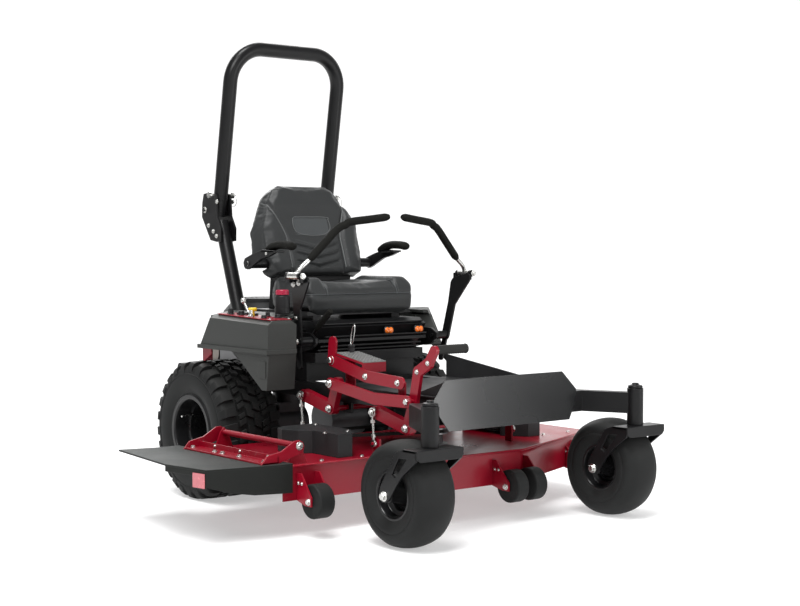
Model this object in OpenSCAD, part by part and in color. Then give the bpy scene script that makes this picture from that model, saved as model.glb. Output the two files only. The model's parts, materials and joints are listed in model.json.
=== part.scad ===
// Zero turn mower, 60 inch class deck, roll hoop raised. Millimetres, +Z up.
// Layout coordinates: x = 0 on the machine's centre plane, +x to the driver's left, -y to the front,
// y = 0 at the rear wheels, z = 0 on the ground. placed() moves the whole machine so that the
// origin is at the bottom centre of its box.

/* [Chassis] */
// Height of the frame rails' underside
rail_bottom = 425; // [420:1:430]
// Rail height
rail_h = 58; // [50:1:60]
// Outside distance from the centre plane to a rail's outer side
rail_outer = 278; // [270:1:280]

/* [Rear wheels] */
// Rear tyre outer radius
tyre_r = 279; // [270:1:285]
// Rear tyre width
tyre_w = 276; // [260:1:280]
// Distance from the centre plane to the middle of a rear tyre
tyre_x = 459; // [455:1:470]

/* [Casters] */
// Caster tyre outer radius
caster_r = 184; // [180:1:186]
// Caster tyre width
caster_w = 164; // [150:1:166]
// Swivel axis from the centre plane
stem_x = 499; // [490:1:505]
// Swivel axis along the machine
stem_y = -1390; // [-1400:1:-1385]
// Distance that the caster axle trails behind the swivel axis
trail = 120; // [118:1:125]

/* [Deck] */
// Deck middle, left of the centre plane
deck_mid = 25; // [20:1:30]
// Distance between neighbouring spindles across the machine
spindle_gap = 500; // [495:1:505]
// Blade tip radius
blade_r = 255; // [245:1:256]
// Height of the deck's top plate
deck_top = 254; // [250:1:256]
// Height of the deck walls' lower edge
skirt_z = 128; // [124:1:130]

/* [Roll hoop] */
// Height of the hoop's top, tube centre
hoop_top = 1851; // [1820:1:1870]
// Tube radius
hoop_tube = 30; // [28:1:31]
// Forward lean of the raised hoop, degrees
hoop_lean = 9.3; // [8:0.1:10]

/* [Seat] */
// Half width of the seat cushion
seat_half = 282; // [270:1:285]

/* [Hidden] */
$fn = 48;

// Overall box, which sets the origin
chute_tip_x = -1072;
deck_left_x = deck_mid + spindle_gap + blade_r + 24;
bumper_y = 640;
hitch_end = 678;
guard_z = 476;
origin_x = (chute_tip_x + deck_left_x) / 2;
origin_y = (stem_y + trail - caster_r + hitch_end) / 2;

// Places that several parts share
axle_y = stem_y + trail;
rail_top = rail_bottom + rail_h;
rail_w = 50;
rail_inner = rail_outer - rail_w;
panel_y = -1222;
beam_y = -1188;
housing_bottom = 353;
housing_top = 490;
housing_r = 30.5;
stem_r = 15.9;
stem_bore_r = 16;
post_x = 277;
fold_y = 330;
fold_z = 1172;
pin_y = 262;
pin_z = 1233;
post_lean = -19.8;
lever_y = -450;
lever_z = 650;
lever_x = 409;
pod_half = 272;
handle_z = 905;
rest_y = -9;
rest_z = 946;
front_shaft = [-1060, 370];
rear_shaft = [-600, 402];
crank_lug = [-38, 100];
front_arm = [181, 43];
rear_arm = [177, 37];
shaft_r = 10;
link_x = 349;
hanger_foot_z = 300;
spindle_ys = [-600, -780, -600];
pulley_r = 60;
hinge_x = -670;
hinge_z = 318;
rubber_z = 256;
blade_z = 142;
roller_r = 61;
roller_z = 131;
// x from, x to, axle y and the y of the deck wall behind, for each gauge roller or pair
rollers = [[-676, -612, -956, -881], [82, 232, -1142, -1055], [630, 694, -966, -862]];

module placed() { translate([-origin_x, -origin_y, 0]) children(); }
module both_sides() {
    children();
    mirror([1, 0, 0]) children();
}
// A cylinder along x from x0 to x1 at y, z
module rod_x(x0, x1, y, z, r) { translate([x0, y, z]) rotate([0, 90, 0]) cylinder(r = r, h = x1 - x0); }
// A cylinder along y from y0 to y1
module rod_y(y0, y1, x, z, r) { translate([x, y1, z]) rotate([90, 0, 0]) cylinder(r = r, h = y1 - y0); }
// A straight bar from p to q
module bar(p, q, r) {
    v = q - p;
    translate(p) rotate([0, acos(v[2] / norm(v)), atan2(v[1], v[0])]) cylinder(r = r, h = norm(v));
}
// A y-z outline carried along x from x0 to x1
module slab_x(x0, x1) {
    translate([x0, 0, 0]) rotate([90, 0, 90]) linear_extrude(x1 - x0) children();
}
// An x-z outline carried along y from y0 to y1
module slab_y(y0, y1) {
    translate([0, y1, 0]) rotate([90, 0, 0]) linear_extrude(y1 - y0) children();
}
// Outline of a flat bar with round ends between two points
module strap(p, q, w) {
    hull() {
        translate(p) circle(d = w);
        translate(q) circle(d = w);
    }
}
module box(lo, hi) { translate(lo) cube(hi - lo); }

// ---- chassis ----
module main_frame() {
    color([0.09, 0.09, 0.1]) placed() difference() {
        union() {
            both_sides() {
                box([rail_outer - rail_w, beam_y + 1, rail_bottom], [rail_outer, 560, rail_top]);
                // ears that carry the two lift shafts under the rails
                box([240, -1085, front_shaft[1] - 24], [252, -1035, rail_bottom]);
                box([240, -625, rear_shaft[1] - 22], [252, -575, rail_bottom]);
                // roll hoop feet
                box([220, -45, rail_top], [307, 95, rail_top + 10]);
            }
            for (y = [beam_y + 1, -520, 130, 520])
                box([-rail_inner, y, rail_bottom + 4], [rail_inner, y + 40, rail_top - 4]);
            // engine plate
            box([-236, 160, rail_top - 8], [236, 530, rail_top + 2]);
        }
        both_sides() {
            rod_x(230, 262, front_shaft[0], front_shaft[1], shaft_r + 0.06);
            rod_x(230, 262, rear_shaft[0], rear_shaft[1], shaft_r + 0.06);
        }
        translate([0, 340, 400]) cylinder(r = 24, h = 100);
    }
}

module front_axle() {
    arm_in = [400, -1192];
    arm_out = [stem_x, stem_y];
    color([0.08, 0.08, 0.09]) placed() difference() {
        union() {
            box([-400, panel_y + 0.4, 396], [400, beam_y, 474]);
            both_sides() {
                translate([0, 0, 396]) linear_extrude(78) hull() {
                    translate(arm_in) circle(r = 22);
                    translate(arm_out) circle(r = 24);
                }
                translate([stem_x, stem_y, housing_bottom])
                    cylinder(r = housing_r, h = housing_top - housing_bottom);
            }
        }
        both_sides() translate([stem_x, stem_y, 0]) cylinder(r = stem_bore_r, h = 600);
    }
}

module floor_pan() {
    color([0.1, 0.1, 0.11]) placed() {
        box([-284, beam_y + 2, rail_top], [284, -560, rail_top + 4]);
        // left kick panel and the riser up to the seat pod
        box([280, beam_y + 2, rail_top + 4], [284, -560, rail_top + 40]);
        slab_x(280, 284) polygon([[-560, rail_top + 40], [-1000, rail_top + 40], [-560, 580]]);
        // sloped foot rest behind the front panel
        slab_x(-270, 278) polygon([[beam_y + 2, rail_top + 4], [-1030, rail_top + 4], [beam_y + 2, 540]]);
    }
}

module front_panel() {
    half = [[0, 552], [287, 552], [350, 483], [330, 425], [295, 374], [0, 374]];
    outline = concat(half, [for (i = [len(half) - 2 : -1 : 1]) [-half[i][0], half[i][1]]]);
    color([0.03, 0.03, 0.035]) placed() intersection() {
        slab_y(panel_y - 40, panel_y + 10) polygon(outline);
        // one sheet that leans back, with a bottom flange
        slab_x(-400, 400) polygon([[panel_y - 28, 374], [panel_y + 3, 552], [panel_y + 7, 552],
            [panel_y - 23.3, 378], [panel_y, 378], [panel_y, 374]]);
    }
}

// Fender pod, right side
module fender_form() {
    hull() {
        slab_x(-560, -430) polygon([[-30, 622], [-106, 735], [-518, 722], [-517, 622]]);
        slab_x(-535, -452) polygon([[-60, 640], [-112, 750], [-512, 737], [-512, 640]]);
    }
}
module fender() {
    difference() {
        union() {
            fender_form();
            // lip
            box([-568, -521, 612], [-430, -22, 628]);
            // front pod, which reaches down ahead of the tyre
            slab_x(-556, -430) polygon([[-517, 616], [-260, 612], [-300, 590], [-470, 475], [-503, 475]]);
            // inner deck beside the seat, rising to the roll hoop
            slab_y(-372, 96) polygon([[-432, 706], [-432, 734], [-330, 752], [-314, 752], [-314, 740],
                [-330, 740], [-424, 724], [-424, 706]]);
        }
        // hollow underside
        slab_x(-550, -440) polygon([[-30, 600], [-30, 622], [-110, 728], [-506, 718], [-506, 640],
            [-490, 485], [-476, 485], [-300, 602]]);
    }
}
module fender_right() { color([0.17, 0.17, 0.18]) placed() fender(); }
// The left pod ends short of the lap bar lever, with a slanted face that sweeps back outboard
module fender_left() {
    sweep = 49.6;
    slant = 22.8;
    color([0.17, 0.17, 0.18]) placed() difference() {
        union() {
            mirror([1, 0, 0]) fender();
            slab_x(316, 440) polygon([[-386, 605], [-386, 618], [-314, 729], [-240, 734], [-240, 605]]);
        }
        translate([400, -386, 618]) rotate([0, 0, sweep]) rotate([-slant, 0, 0])
            translate([-300, -600, -400]) cube([1000, 600, 800]);
    }
}

module console_plate() {
    color([0.55, 0.03, 0.08]) placed() slab_x(-540, -440)
        polygon([[-500, 738.3], [-500, 741.3], [-130, 752.7], [-130, 749.7]]);
}

module seat_pod() {
    color([0.07, 0.07, 0.08]) placed() difference() {
        union() {
            box([-pod_half, -360, rail_top], [pod_half, -60, 640]);
            box([-215, -60, rail_top + 2.4], [215, 60, 724]);
            slab_x(-pod_half, pod_half)
                polygon([[-360, 600], [-400, 640], [-440, 700], [-400, 724], [-60, 724], [-60, 600]]);
            // cross bars of the front grille
            box([-pod_half, -440, 640], [pod_half, -400, 652]);
            box([-pod_half, -420, 560], [pod_half, -360, 600]);
            // side wedge that reaches towards the right fender, and its short left twin
            for (reach = [[-372, -pod_half], [pod_half, 313]]) slab_x(reach[0], reach[1])
                polygon([[-300, 560], [-340, 610], [-356, 690], [-240, 700], [-240, 560]]);
            // ears that hold the lap bar pivots
            both_sides() slab_x(300, 312)
                polygon([[-345, 600], [-345, 680], [-440, 680], [-476, 660], [-476, 640], [-440, 616]]);
        }
        both_sides() rod_x(295, 315, lever_y, lever_z, 8.06);
        box([-260, -340, rail_top + 6], [260, -70, 690]);
        box([-205, -80, rail_top + 8], [205, 50, 690]);
    }
}

module marker_lamps() {
    color([0.9, 0.4, 0.05]) placed()
        for (x = [75, 232]) translate([x, -440, 678]) rotate([90, 0, 0]) hull() {
            translate([-12, 0, 0]) cylinder(r = 11, h = 9);
            translate([12, 0, 0]) cylinder(r = 11, h = 9);
        }
}

module rops_posts() {
    module plate() {
        polygon([[202, 1039], [237, 1035], [286, 1043], [354, 1142], [352, 1200], [340, 1240], [262, 1250],
            [240, 1232], [232, 1144], [201, 1093]]);
    }
    color([0.07, 0.07, 0.08]) placed() both_sides() difference() {
        union() {
            translate([post_x, 32, rail_top + 10]) rotate([post_lean, 0, 0]) cylinder(r = hoop_tube, h = 666);
            for (x = [post_x - 38.6, post_x + 30.6]) slab_x(x, x + 8) plate();
            rod_x(post_x - 48, post_x + 48, fold_y, fold_z, 9);
        }
        // the foot stands flat on the frame, and the locking pin leaves through the open arc
        box([200, -60, rail_top - 20], [340, 120, rail_top + 10]);
        translate([post_x - 39, fold_y, fold_z]) rotate([90, 0, 90]) rotate([0, 0, -20])
            rotate_extrude(angle = 160) translate([82.5, 0]) square([80, 78]);
        rod_x(post_x - 60, post_x + 60, pin_y, pin_z, 8.3);
    }
}

// ---- engine and drive ----
module engine_block() {
    color([0.3, 0.3, 0.31]) placed() difference() {
        union() {
            box([-150, 200, rail_top + 2], [150, 480, 640]);
            translate([0, 340, 640]) cylinder(r = 150, h = 30);
            // cylinders in a vee
            both_sides() translate([95, 300, 545]) rotate([0, 55, -25]) {
                for (k = [0 : 6]) translate([0, 0, 16 * k]) cylinder(r = 62, h = 9);
                cylinder(r = 48, h = 112);
            }
            translate([0, 340, 330]) cylinder(r = 14, h = 160);
            translate([0, 340, 330]) cylinder(r = 90, h = 26);
        }
        translate([0, 340, 320]) cylinder(r = 5, h = 30);
    }
}
module engine_shroud() {
    color([0.08, 0.08, 0.08]) placed() difference() {
        union() {
            translate([0, 340, 670]) cylinder(r = 185, h = 62);
            translate([0, 340, 732]) cylinder(r1 = 185, r2 = 150, h = 40);
            translate([0, 340, 772]) cylinder(r = 140, h = 18);
        }
        for (r = [40 : 22 : 128]) translate([0, 340, 782]) difference() {
            cylinder(r = r + 7, h = 20);
            translate([0, 0, -1]) cylinder(r = r, h = 22);
        }
    }
}
module air_cleaner() {
    color([0.12, 0.12, 0.12]) placed() {
        rod_y(270, 470, 266, 600, 40);
        rod_y(470, 482, 266, 600, 36);
        box([150.2, 380, 585], [232, 420, 615]);
    }
}
module muffler() {
    color([0.35, 0.33, 0.31]) placed() {
        rod_x(-150, 150, 540, 545, 50);
        for (x = [-90, 90]) rod_y(480.2, 510, x, 560, 15);
        bar([120, 565, 515], [140, 578, 500], 13);
    }
}
module rear_bumper() {
    color([0.08, 0.08, 0.09]) placed() difference() {
        union() {
            both_sides() {
                box([rail_outer - rail_w, 560, 340], [rail_outer, 612, rail_top]);
                bar([rail_outer - 25, 615, 400], [rail_outer - 25, 615, guard_z], 22);
            }
            rod_x(-275, 275, 615, guard_z, 22);
            box([-278, 600, 340], [278, bumper_y, 400]);
            // hitch plate
            box([-60, 560, 332], [60, hitch_end, 340]);
        }
        translate([0, hitch_end - 22, 320]) cylinder(r = 9.5, h = 100);
    }
}
module transaxles() {
    color([0.16, 0.16, 0.17]) placed() both_sides() {
        rod_x(60, 250, 0, tyre_r, 78);
        rod_x(250, 316, 0, tyre_r, 46);
        rod_x(316, 396, 0, tyre_r, 16.94);
        translate([120, 0, tyre_r + 60]) cylinder(r = 60, h = 80);
        translate([120, 0, tyre_r + 140]) cylinder(r = 12, h = 40);
        box([70, -60, tyre_r + 40], [200, 60, tyre_r + 90]);
    }
}
module oil_reservoir() {
    color([0.05, 0.05, 0.05]) placed() {
        translate([-370, -335, 752.3]) cylinder(r = 30, h = 74);
        translate([-370, -335, 826.3]) cylinder(r = 22, h = 22);
    }
}

module height_quadrant() {
    color([0.6, 0.03, 0.1]) placed() difference() {
        union() {
            slab_x(-338, -330) {
                strap([-621, 655], [-614, 587], 46);
                strap([-614, 587], [-826, 540], 44);
                strap([-826, 540], [-1030, 530], 44);
            }
            // inner leg down to the frame rail
            box([-330, -700, 560], [-290, -640, 568]);
            box([-290, -700, rail_top - 20], [-284.3, -640, 603]);
            box([-290, -1000, rail_top - 20], [-284.3, -960, 528]);
            box([-331, -1000, 520], [-286, -960, 528]);
            // tread that the foot steps on, with a lip folded down at its front
            slab_x(-331, -225) polygon([[-640, 606], [-640, 614], [-806, 588], [-806, 552], [-798, 552],
                [-798, 581]]);
            rod_x(-345, -338, -614, 587, 15);
        }
        for (y = [-665 : -30 : -785]) for (x = [-314, -264, -240])
            translate([x, y, 570]) cylinder(r = 9, h = 60);
    }
}

// ---- roll hoop ----
module rops_hoop() {
    corner_r = 144;
    leg_h = (hoop_top - pin_z) / cos(hoop_lean) - corner_r;
    foot_h = 88;
    color([0.07, 0.07, 0.08]) placed() difference() {
        union() {
            translate([0, pin_y, pin_z]) rotate([hoop_lean, 0, 0]) {
                both_sides() {
                    translate([post_x, 0, -foot_h]) cylinder(r = hoop_tube, h = leg_h + foot_h);
                    translate([post_x - corner_r, 0, leg_h]) rotate([90, 0, 0])
                        rotate_extrude(angle = 90) translate([corner_r, 0]) circle(r = hoop_tube);
                }
                rod_x(corner_r - post_x, post_x - corner_r, 0, leg_h + corner_r, hoop_tube);
            }
            // fold lugs
            both_sides() slab_x(post_x - 24, post_x + 24) hull() {
                translate([fold_y, fold_z]) circle(r = 22);
                translate([276, 1165]) circle(r = 20);
                translate([272, 1200]) circle(r = 20);
            }
        }
        both_sides() {
            rod_x(post_x - 60, post_x + 60, fold_y, fold_z, 9.06);
            rod_x(post_x - 60, post_x + 60, pin_y, pin_z, 8);
        }
    }
}
module rops_pins() {
    color([0.75, 0.75, 0.72]) placed() both_sides() {
        rod_x(post_x - 54, post_x + 58, pin_y, pin_z, 8);
        rod_x(post_x + 54, post_x + 62, pin_y, pin_z, 13);
    }
}

// ---- seat ----
module seat_pan() {
    color([0.06, 0.06, 0.06]) placed() {
        both_sides() box([180, -330, 724.4], [220, 20, 742]);
        box([-262, -350, 742], [262, 40, 758]);
        // back frame
        slab_x(-200, 200)
            polygon([[-18, 758], [14, 758], [0, 911.5], [59, 1076.4], [42, 1082.7], [-18, 917]]);
        // armrest pivot arms
        both_sides() {
            rod_x(197, 304, rest_y, rest_z, 20);
            rod_x(304, 330, rest_y, rest_z, 10);
        }
    }
}
module seat_cushion() {
    side = [[-352, 758.4], [-352, 738], [-390, 744], [-398, 800], [-386, 852], [-340, 872], [-60, 872],
        [-20, 850], [-20, 758.4]];
    color([0.13, 0.13, 0.14]) placed() intersection() {
        slab_x(-seat_half, seat_half) offset(r = 14) offset(delta = -14) polygon(side);
        slab_y(-420, 20) offset(r = 34) offset(delta = -34)
            polygon([[-262, 720], [-seat_half, 790], [-seat_half + 4, 878], [seat_half - 4, 878],
                [seat_half, 790], [262, 720]]);
        // corners drawn in
        translate([0, 0, 700]) linear_extrude(250) polygon([[-238, -420], [238, -420],
            [seat_half, -366], [seat_half, -150], [236, -20], [-236, -20], [-seat_half, -150],
            [-seat_half, -366]]);
    }
}
module seat_back() {
    lean = 20.5;
    half = [[225, -42], [252, 20], [262, 70], [262, 190], [236, 250], [204, 312], [170, 366], [132, 392]];
    back = concat(half, [for (i = [len(half) - 1 : -1 : 0]) [-half[i][0], half[i][1]]]);
    color([0.13, 0.13, 0.14]) placed() translate([0, -38, 914]) rotate([-lean, 0, 0])
        difference() {
            intersection() {
                slab_y(-33, 90) offset(r = 24) offset(delta = -24) polygon(back);
                // rounded shell behind
                slab_x(-300, 300) polygon([[-34, -50], [-34, 400], [20, 400], [52, 376], [72, 320],
                    [78, 200], [70, 60], [34, -50]]);
            }
            // room for the back frame
            slab_x(-200.4, 200.4) polygon([[15.6, -60], [90, -60], [90, 187], [15.6, 187]]);
            // room for the armrest pivots
            both_sides() box([196, -8, 14], [300, 100, 66]);
        }
}
module armrest() {
    difference() {
        union() {
            // bracket
            slab_x(306, 322) hull() {
                translate([rest_y, rest_z]) circle(r = 24);
                translate([-190, 990]) circle(r = 12);
            }
            slab_x(306, 322) hull() {
                translate([-190, 990]) circle(r = 12);
                translate([-120, 985]) circle(r = 20);
            }
            // pad
            slab_x(266, 312) hull() {
                translate([-290, 1016]) circle(r = 16);
                translate([-200, 1016]) circle(r = 24);
                translate([-100, 1000]) circle(r = 16);
            }
        }
        rod_x(300, 330, rest_y, rest_z, 10.06);
    }
}
module armrest_right() { color([0.1, 0.1, 0.1]) placed() mirror([1, 0, 0]) armrest(); }
module armrest_left() { color([0.1, 0.1, 0.1]) placed() armrest(); }

// ---- lap bars ----
module lap_lever() {
    module plate() {
        slab_x(lever_x - 4, lever_x + 4) children();
    }
    difference() {
        union() {
            // the plates lean inboard towards the pivot
            translate([lever_x, 0, handle_z]) rotate([0, 8.3, 0]) translate([-lever_x, 0, -handle_z]) {
                plate() strap([lever_y, lever_z - 4], [-470, 800], 44);
                plate() hull() {
                    translate([-478, 860]) circle(r = 30);
                    translate([-470, 790]) circle(r = 24);
                    translate([-545, 885]) circle(r = 20);
                }
                // tail down to the drive link
                plate() strap([lever_y, lever_z - 4], [-437, 552], 26);
            }
            rod_x(314, 376, lever_y, lever_z, 17);
            // ears of the swing hinge
            for (y = [-548, -470]) {
                box([lever_x - 3, y, handle_z - 26], [lever_x + 20, y + 12, handle_z + 2]);
                rod_y(y, y + 12, lever_x + 20, handle_z, 14);
            }
        }
        rod_y(-560, -440, lever_x + 20, handle_z, 6.06);
    }
    rod_x(292, 314, lever_y, lever_z, 8);
}
module lap_lever_right() { color([0.07, 0.07, 0.07]) placed() mirror([1, 0, 0]) lap_lever(); }
module lap_lever_left() { color([0.07, 0.07, 0.07]) placed() lap_lever(); }

// Bar centre line, from the hinge barrel to the inner end
bar_pts = [[429, -505, 905], [408, -516, 935], [373, -519, 965], [252, -541, 1085], [200, -556, 1112],
    [33, -582, 1133]];
module lap_handle() {
    color([0.5, 0.5, 0.5]) {
        rod_y(-535.7, -470.3, lever_x + 20, handle_z, 14);
        for (i = [0, 1]) hull() for (k = [i, i + 1]) translate(bar_pts[k]) sphere(r = 9, $fn = 16);
        rod_y(-552, -454, lever_x + 20, handle_z, 6);
    }
}
module lap_grip() {
    for (i = [2 : 4]) hull() for (k = [i, i + 1]) translate(bar_pts[k]) sphere(r = 16, $fn = 16);
}
module lap_handle_right() { placed() mirror([1, 0, 0]) lap_handle(); }
module lap_handle_left() { placed() lap_handle(); }
module lap_grip_right() { color([0.13, 0.13, 0.13]) placed() mirror([1, 0, 0]) lap_grip(); }
module lap_grip_left() { color([0.13, 0.13, 0.13]) placed() lap_grip(); }

// ---- wheels ----
module ring_x(x, y, z) { translate([x, y, z]) rotate([0, 90, 0]) rotate_extrude() children(); }
module rear_tyre() {
    h = tyre_w / 2;
    ring_x(0, 0, tyre_r) polygon([[134, -100], [146, -128], [180, -h], [240, -h], [268, -h + 10],
        [tyre_r, -h + 26], [tyre_r, h - 26], [268, h - 10], [240, h], [180, h], [146, 128], [134, 100],
        [158, 90], [236, 70], [236, -70], [158, -90]]);
}
module rear_rim() {
    ring_x(0, 0, tyre_r) union() {
        polygon([[126, -127], [145, -127], [145, -118], [133.7, -102], [133.7, 102], [145, 118],
            [145, 127], [126, 127]]);
        polygon([[17, -50], [60, -50], [60, -34], [126, -24], [126, -16], [60, -24], [17, -36]]);
        polygon([[17, -66], [40, -66], [40, -50], [17, -50]]);
    }
}
module at_rear(s) { placed() translate([s * tyre_x, 0, 0]) mirror([s < 0 ? 1 : 0, 0, 0]) children(); }
module rear_tyre_right() { color([0.08, 0.08, 0.08]) at_rear(-1) rear_tyre(); }
module rear_tyre_left() { color([0.08, 0.08, 0.08]) at_rear(1) rear_tyre(); }
module rear_rim_right() { color([0.05, 0.05, 0.05]) at_rear(-1) rear_rim(); }
module rear_rim_left() { color([0.05, 0.05, 0.05]) at_rear(1) rear_rim(); }

module caster_fork() {
    leg = [[-1438, 353], [-1373, 353], [-1322, 330], [-1246, 204], [-1246, 168], [-1294, 168], [-1330, 216],
        [-1438, 312]];
    slot = [[-1392, 318], [-1350, 312], [-1310, 250], [-1330, 246]];
    crown_z = 343;
    box([-101, stem_y - 48, crown_z], [101, stem_y + 17, housing_bottom - 0.3]);
    for (x = [-101, 93]) slab_x(x, x + 8) difference() {
        intersection() {
            polygon(leg);
            translate([-1500, 100]) square([400, housing_bottom - 0.3 - 100]);
        }
        polygon(slot);
    }
    translate([0, stem_y, crown_z]) cylinder(r = stem_r, h = housing_top + 16 - crown_z);
    // dust cap
    translate([0, stem_y, housing_top + 0.4]) cylinder(r = 27, h = 10);
    translate([0, stem_y, housing_top + 10.4]) cylinder(r = 14, h = 10);
    rod_x(-93, 93, axle_y, caster_r, 9);
    for (x = [-113, 101]) rod_x(x, x + 12, axle_y, caster_r, 13);
}
module caster_tyre() {
    h = caster_w / 2;
    ring_x(0, axle_y, caster_r) polygon([[80, -54], [88, -66], [112, -h + 4], [140, -h], [164, -h + 12],
        [178, -h + 32], [caster_r, -30], [caster_r, 30], [178, h - 32], [164, h - 12], [140, h],
        [112, h - 4], [88, 66], [80, 54], [96, 44], [150, 40], [150, -40], [96, -44]]);
}
module caster_rim() {
    ring_x(0, axle_y, caster_r) {
        polygon([[74, -62], [87, -62], [87, -58], [79.7, -50], [79.7, 50], [87, 58], [87, 62], [74, 62]]);
        polygon([[9.06, -86], [22, -86], [22, -18], [74, -10], [74, 10], [22, 18], [22, 86], [9.06, 86]]);
    }
}
module at_caster(s) { placed() translate([s * stem_x, 0, 0]) children(); }
module caster_fork_right() { color([0.07, 0.07, 0.07]) at_caster(-1) caster_fork(); }
module caster_fork_left() { color([0.07, 0.07, 0.07]) at_caster(1) caster_fork(); }
module caster_tyre_right() { color([0.12, 0.12, 0.12]) at_caster(-1) caster_tyre(); }
module caster_tyre_left() { color([0.12, 0.12, 0.12]) at_caster(1) caster_tyre(); }
module caster_rim_right() { color([0.05, 0.05, 0.05]) at_caster(-1) caster_rim(); }
module caster_rim_left() { color([0.05, 0.05, 0.05]) at_caster(1) caster_rim(); }

// ---- cutting deck ----
deck_right_x = deck_mid - spindle_gap - blade_r - 18;
deck_outline = [[deck_right_x, -328], [deck_right_x, -882], [-330, -882], [-215, -1062], [213, -1072],
    [deck_left_x - 8, -835], [deck_left_x - 8, -328]];
spindles = [for (i = [-1, 0, 1]) [deck_mid + i * spindle_gap, spindle_ys[i + 1]]];
hanger_feet_y = [-885, -440];
module deck_shell() {
    color([0.62, 0.02, 0.1]) placed() difference() {
        union() {
            translate([0, 0, deck_top - 5]) linear_extrude(5) offset(delta = 8) polygon(deck_outline);
            translate([0, 0, skirt_z]) linear_extrude(deck_top - 5 - skirt_z) difference() {
                polygon(deck_outline);
                offset(delta = -4) polygon(deck_outline);
            }
            // hinge ears for the chute
            for (y = [-868, -386]) slab_y(y, y + 8)
                polygon([[-712, deck_top - 4], [-628, deck_top - 4], [hinge_x + 16, hinge_z],
                    [hinge_x, hinge_z + 18], [hinge_x - 16, hinge_z]]);
            // hanger feet
            both_sides() for (y = hanger_feet_y) {
                box([324, y - 18, deck_top - 2], [332, y + 18, hanger_foot_z + 16]);
                rod_x(332, 352, y, hanger_foot_z, 6);
            }
            // roller brackets
            for (r = rollers) for (x = [r[0] - 10, r[1] + 4]) slab_x(x, x + 6)
                polygon([[r[3], 225], [r[3], skirt_z + 2], [r[2] + 20, roller_z - 16],
                    [r[2] - 16, roller_z - 16], [r[2] - 16, roller_z + 16], [r[3] - 30, 225]]);
        }
        for (s = spindles) translate([s[0], s[1], 240]) cylinder(r = 41, h = 30);
        // discharge opening in the right side
        box([deck_right_x - 20, -900, 100], [deck_right_x + 6, -420, deck_top - 5]);
        rod_y(-950, -340, hinge_x, hinge_z, 6.06);
        for (r = rollers) rod_x(r[0] - 20, r[1] + 20, r[2], roller_z, 8.06);
    }
}
module belt_covers() {
    module one() {
        form = [[-520, -520], [-378, -520], [-378, -760], [-440, -850], [-505, -850], [-505, -690],
            [-552, -668], [-580, -600], [-563, -548]];
        difference() {
            translate([0, 0, deck_top]) linear_extrude(86) polygon(form);
            translate([0, 0, deck_top - 1]) linear_extrude(84) offset(delta = -3) polygon(form);
            // belt ways
            box([-390, -750, deck_top - 1], [-370, -530, deck_top + 70]);
        }
    }
    color([0.2, 0.2, 0.21]) placed() {
        translate([deck_mid, 0, 0]) one();
        translate([deck_mid, 0, 0]) mirror([1, 0, 0]) one();
    }
}
module spindle_housings() {
    color([0.3, 0.3, 0.3]) placed() for (s = spindles) translate([s[0], s[1], 0]) difference() {
        union() {
            translate([0, 0, deck_top]) cylinder(r = 56, h = 8);
            translate([0, 0, deck_top - 30]) cylinder(r = 40, h = 66);
        }
        translate([0, 0, deck_top - 80]) cylinder(r = 15.06, h = 140);
    }
}
module deck_belt() {
    module path() {
        hull() for (s = spindles) translate(s) circle(r = pulley_r + 2);
    }
    color([0.05, 0.05, 0.05]) placed() translate([0, 0, 304]) linear_extrude(12) difference() {
        path();
        offset(delta = -9) path();
    }
}
module cutter(s) {
    translate([s[0], s[1], 0]) {
        translate([0, 0, blade_z + 6]) cylinder(r = 15, h = 327 - blade_z);
        translate([0, 0, blade_z - 14]) cylinder(r = 17, h = 14);
        difference() {
            translate([0, 0, 298]) cylinder(r = pulley_r, h = 24);
            translate([0, 0, 303.5]) difference() {
                cylinder(r = pulley_r + 4, h = 13);
                cylinder(r = pulley_r - 7.4, h = 13);
            }
        }
        // blade with its raised wing tips
        translate([0, 0, blade_z]) linear_extrude(6) intersection() {
            circle(r = blade_r);
            square([2 * blade_r, 62], center = true);
        }
        for (a = [0, 180]) rotate([0, 0, a]) translate([blade_r - 92, -31, blade_z + 6])
            cube([80, 10, 16]);
    }
}
module cutter_right() { color([0.45, 0.45, 0.46]) placed() cutter(spindles[0]); }
module cutter_centre() { color([0.45, 0.45, 0.46]) placed() cutter(spindles[1]); }
module cutter_left() { color([0.45, 0.45, 0.46]) placed() cutter(spindles[2]); }

module chute() {
    color([0.2, 0.2, 0.2]) placed() {
        // rubber plate with its front skirt
        translate([0, 0, rubber_z]) linear_extrude(8)
            polygon([[-715, -352], [-715, -905], [-768, -905], [-1035, -853], [chute_tip_x, -642],
                [-1023, -214], [-880, -250], [-786, -250], [-786, -352]]);
        intersection() {
            translate([0, 0, 150]) linear_extrude(rubber_z - 149)
                polygon([[-715, -905], [-768, -905], [-1035, -853], [-1035, -845], [-766, -897], [-715, -897]]);
            slab_y(-910, -840) polygon([[-700, 160], [-860, 164], [-1036, 204], [-1036, 270], [-700, 270]]);
        }
        // bolted hinge bracket: a flat strip, a low inner wall and an ear at each end
        slab_y(-880, -352) polygon([[-826, rubber_z + 7], [-826, rubber_z + 14], [-763, rubber_z + 14],
            [-763, rubber_z + 34], [-757, rubber_z + 34], [-757, rubber_z + 7]]);
        for (y = [-880, -360]) slab_y(y, y + 8)
            polygon([[-830, 263], [-756, 263], [-700, 280], [-654, 296], [-650, 322], [-664, 338],
                [-690, 336], [-745, 304], [-805, 292]]);
        rod_y(-858, -388, hinge_x, hinge_z, 10);
        rod_y(-898, -343, hinge_x, hinge_z, 6);
    }
}

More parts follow.
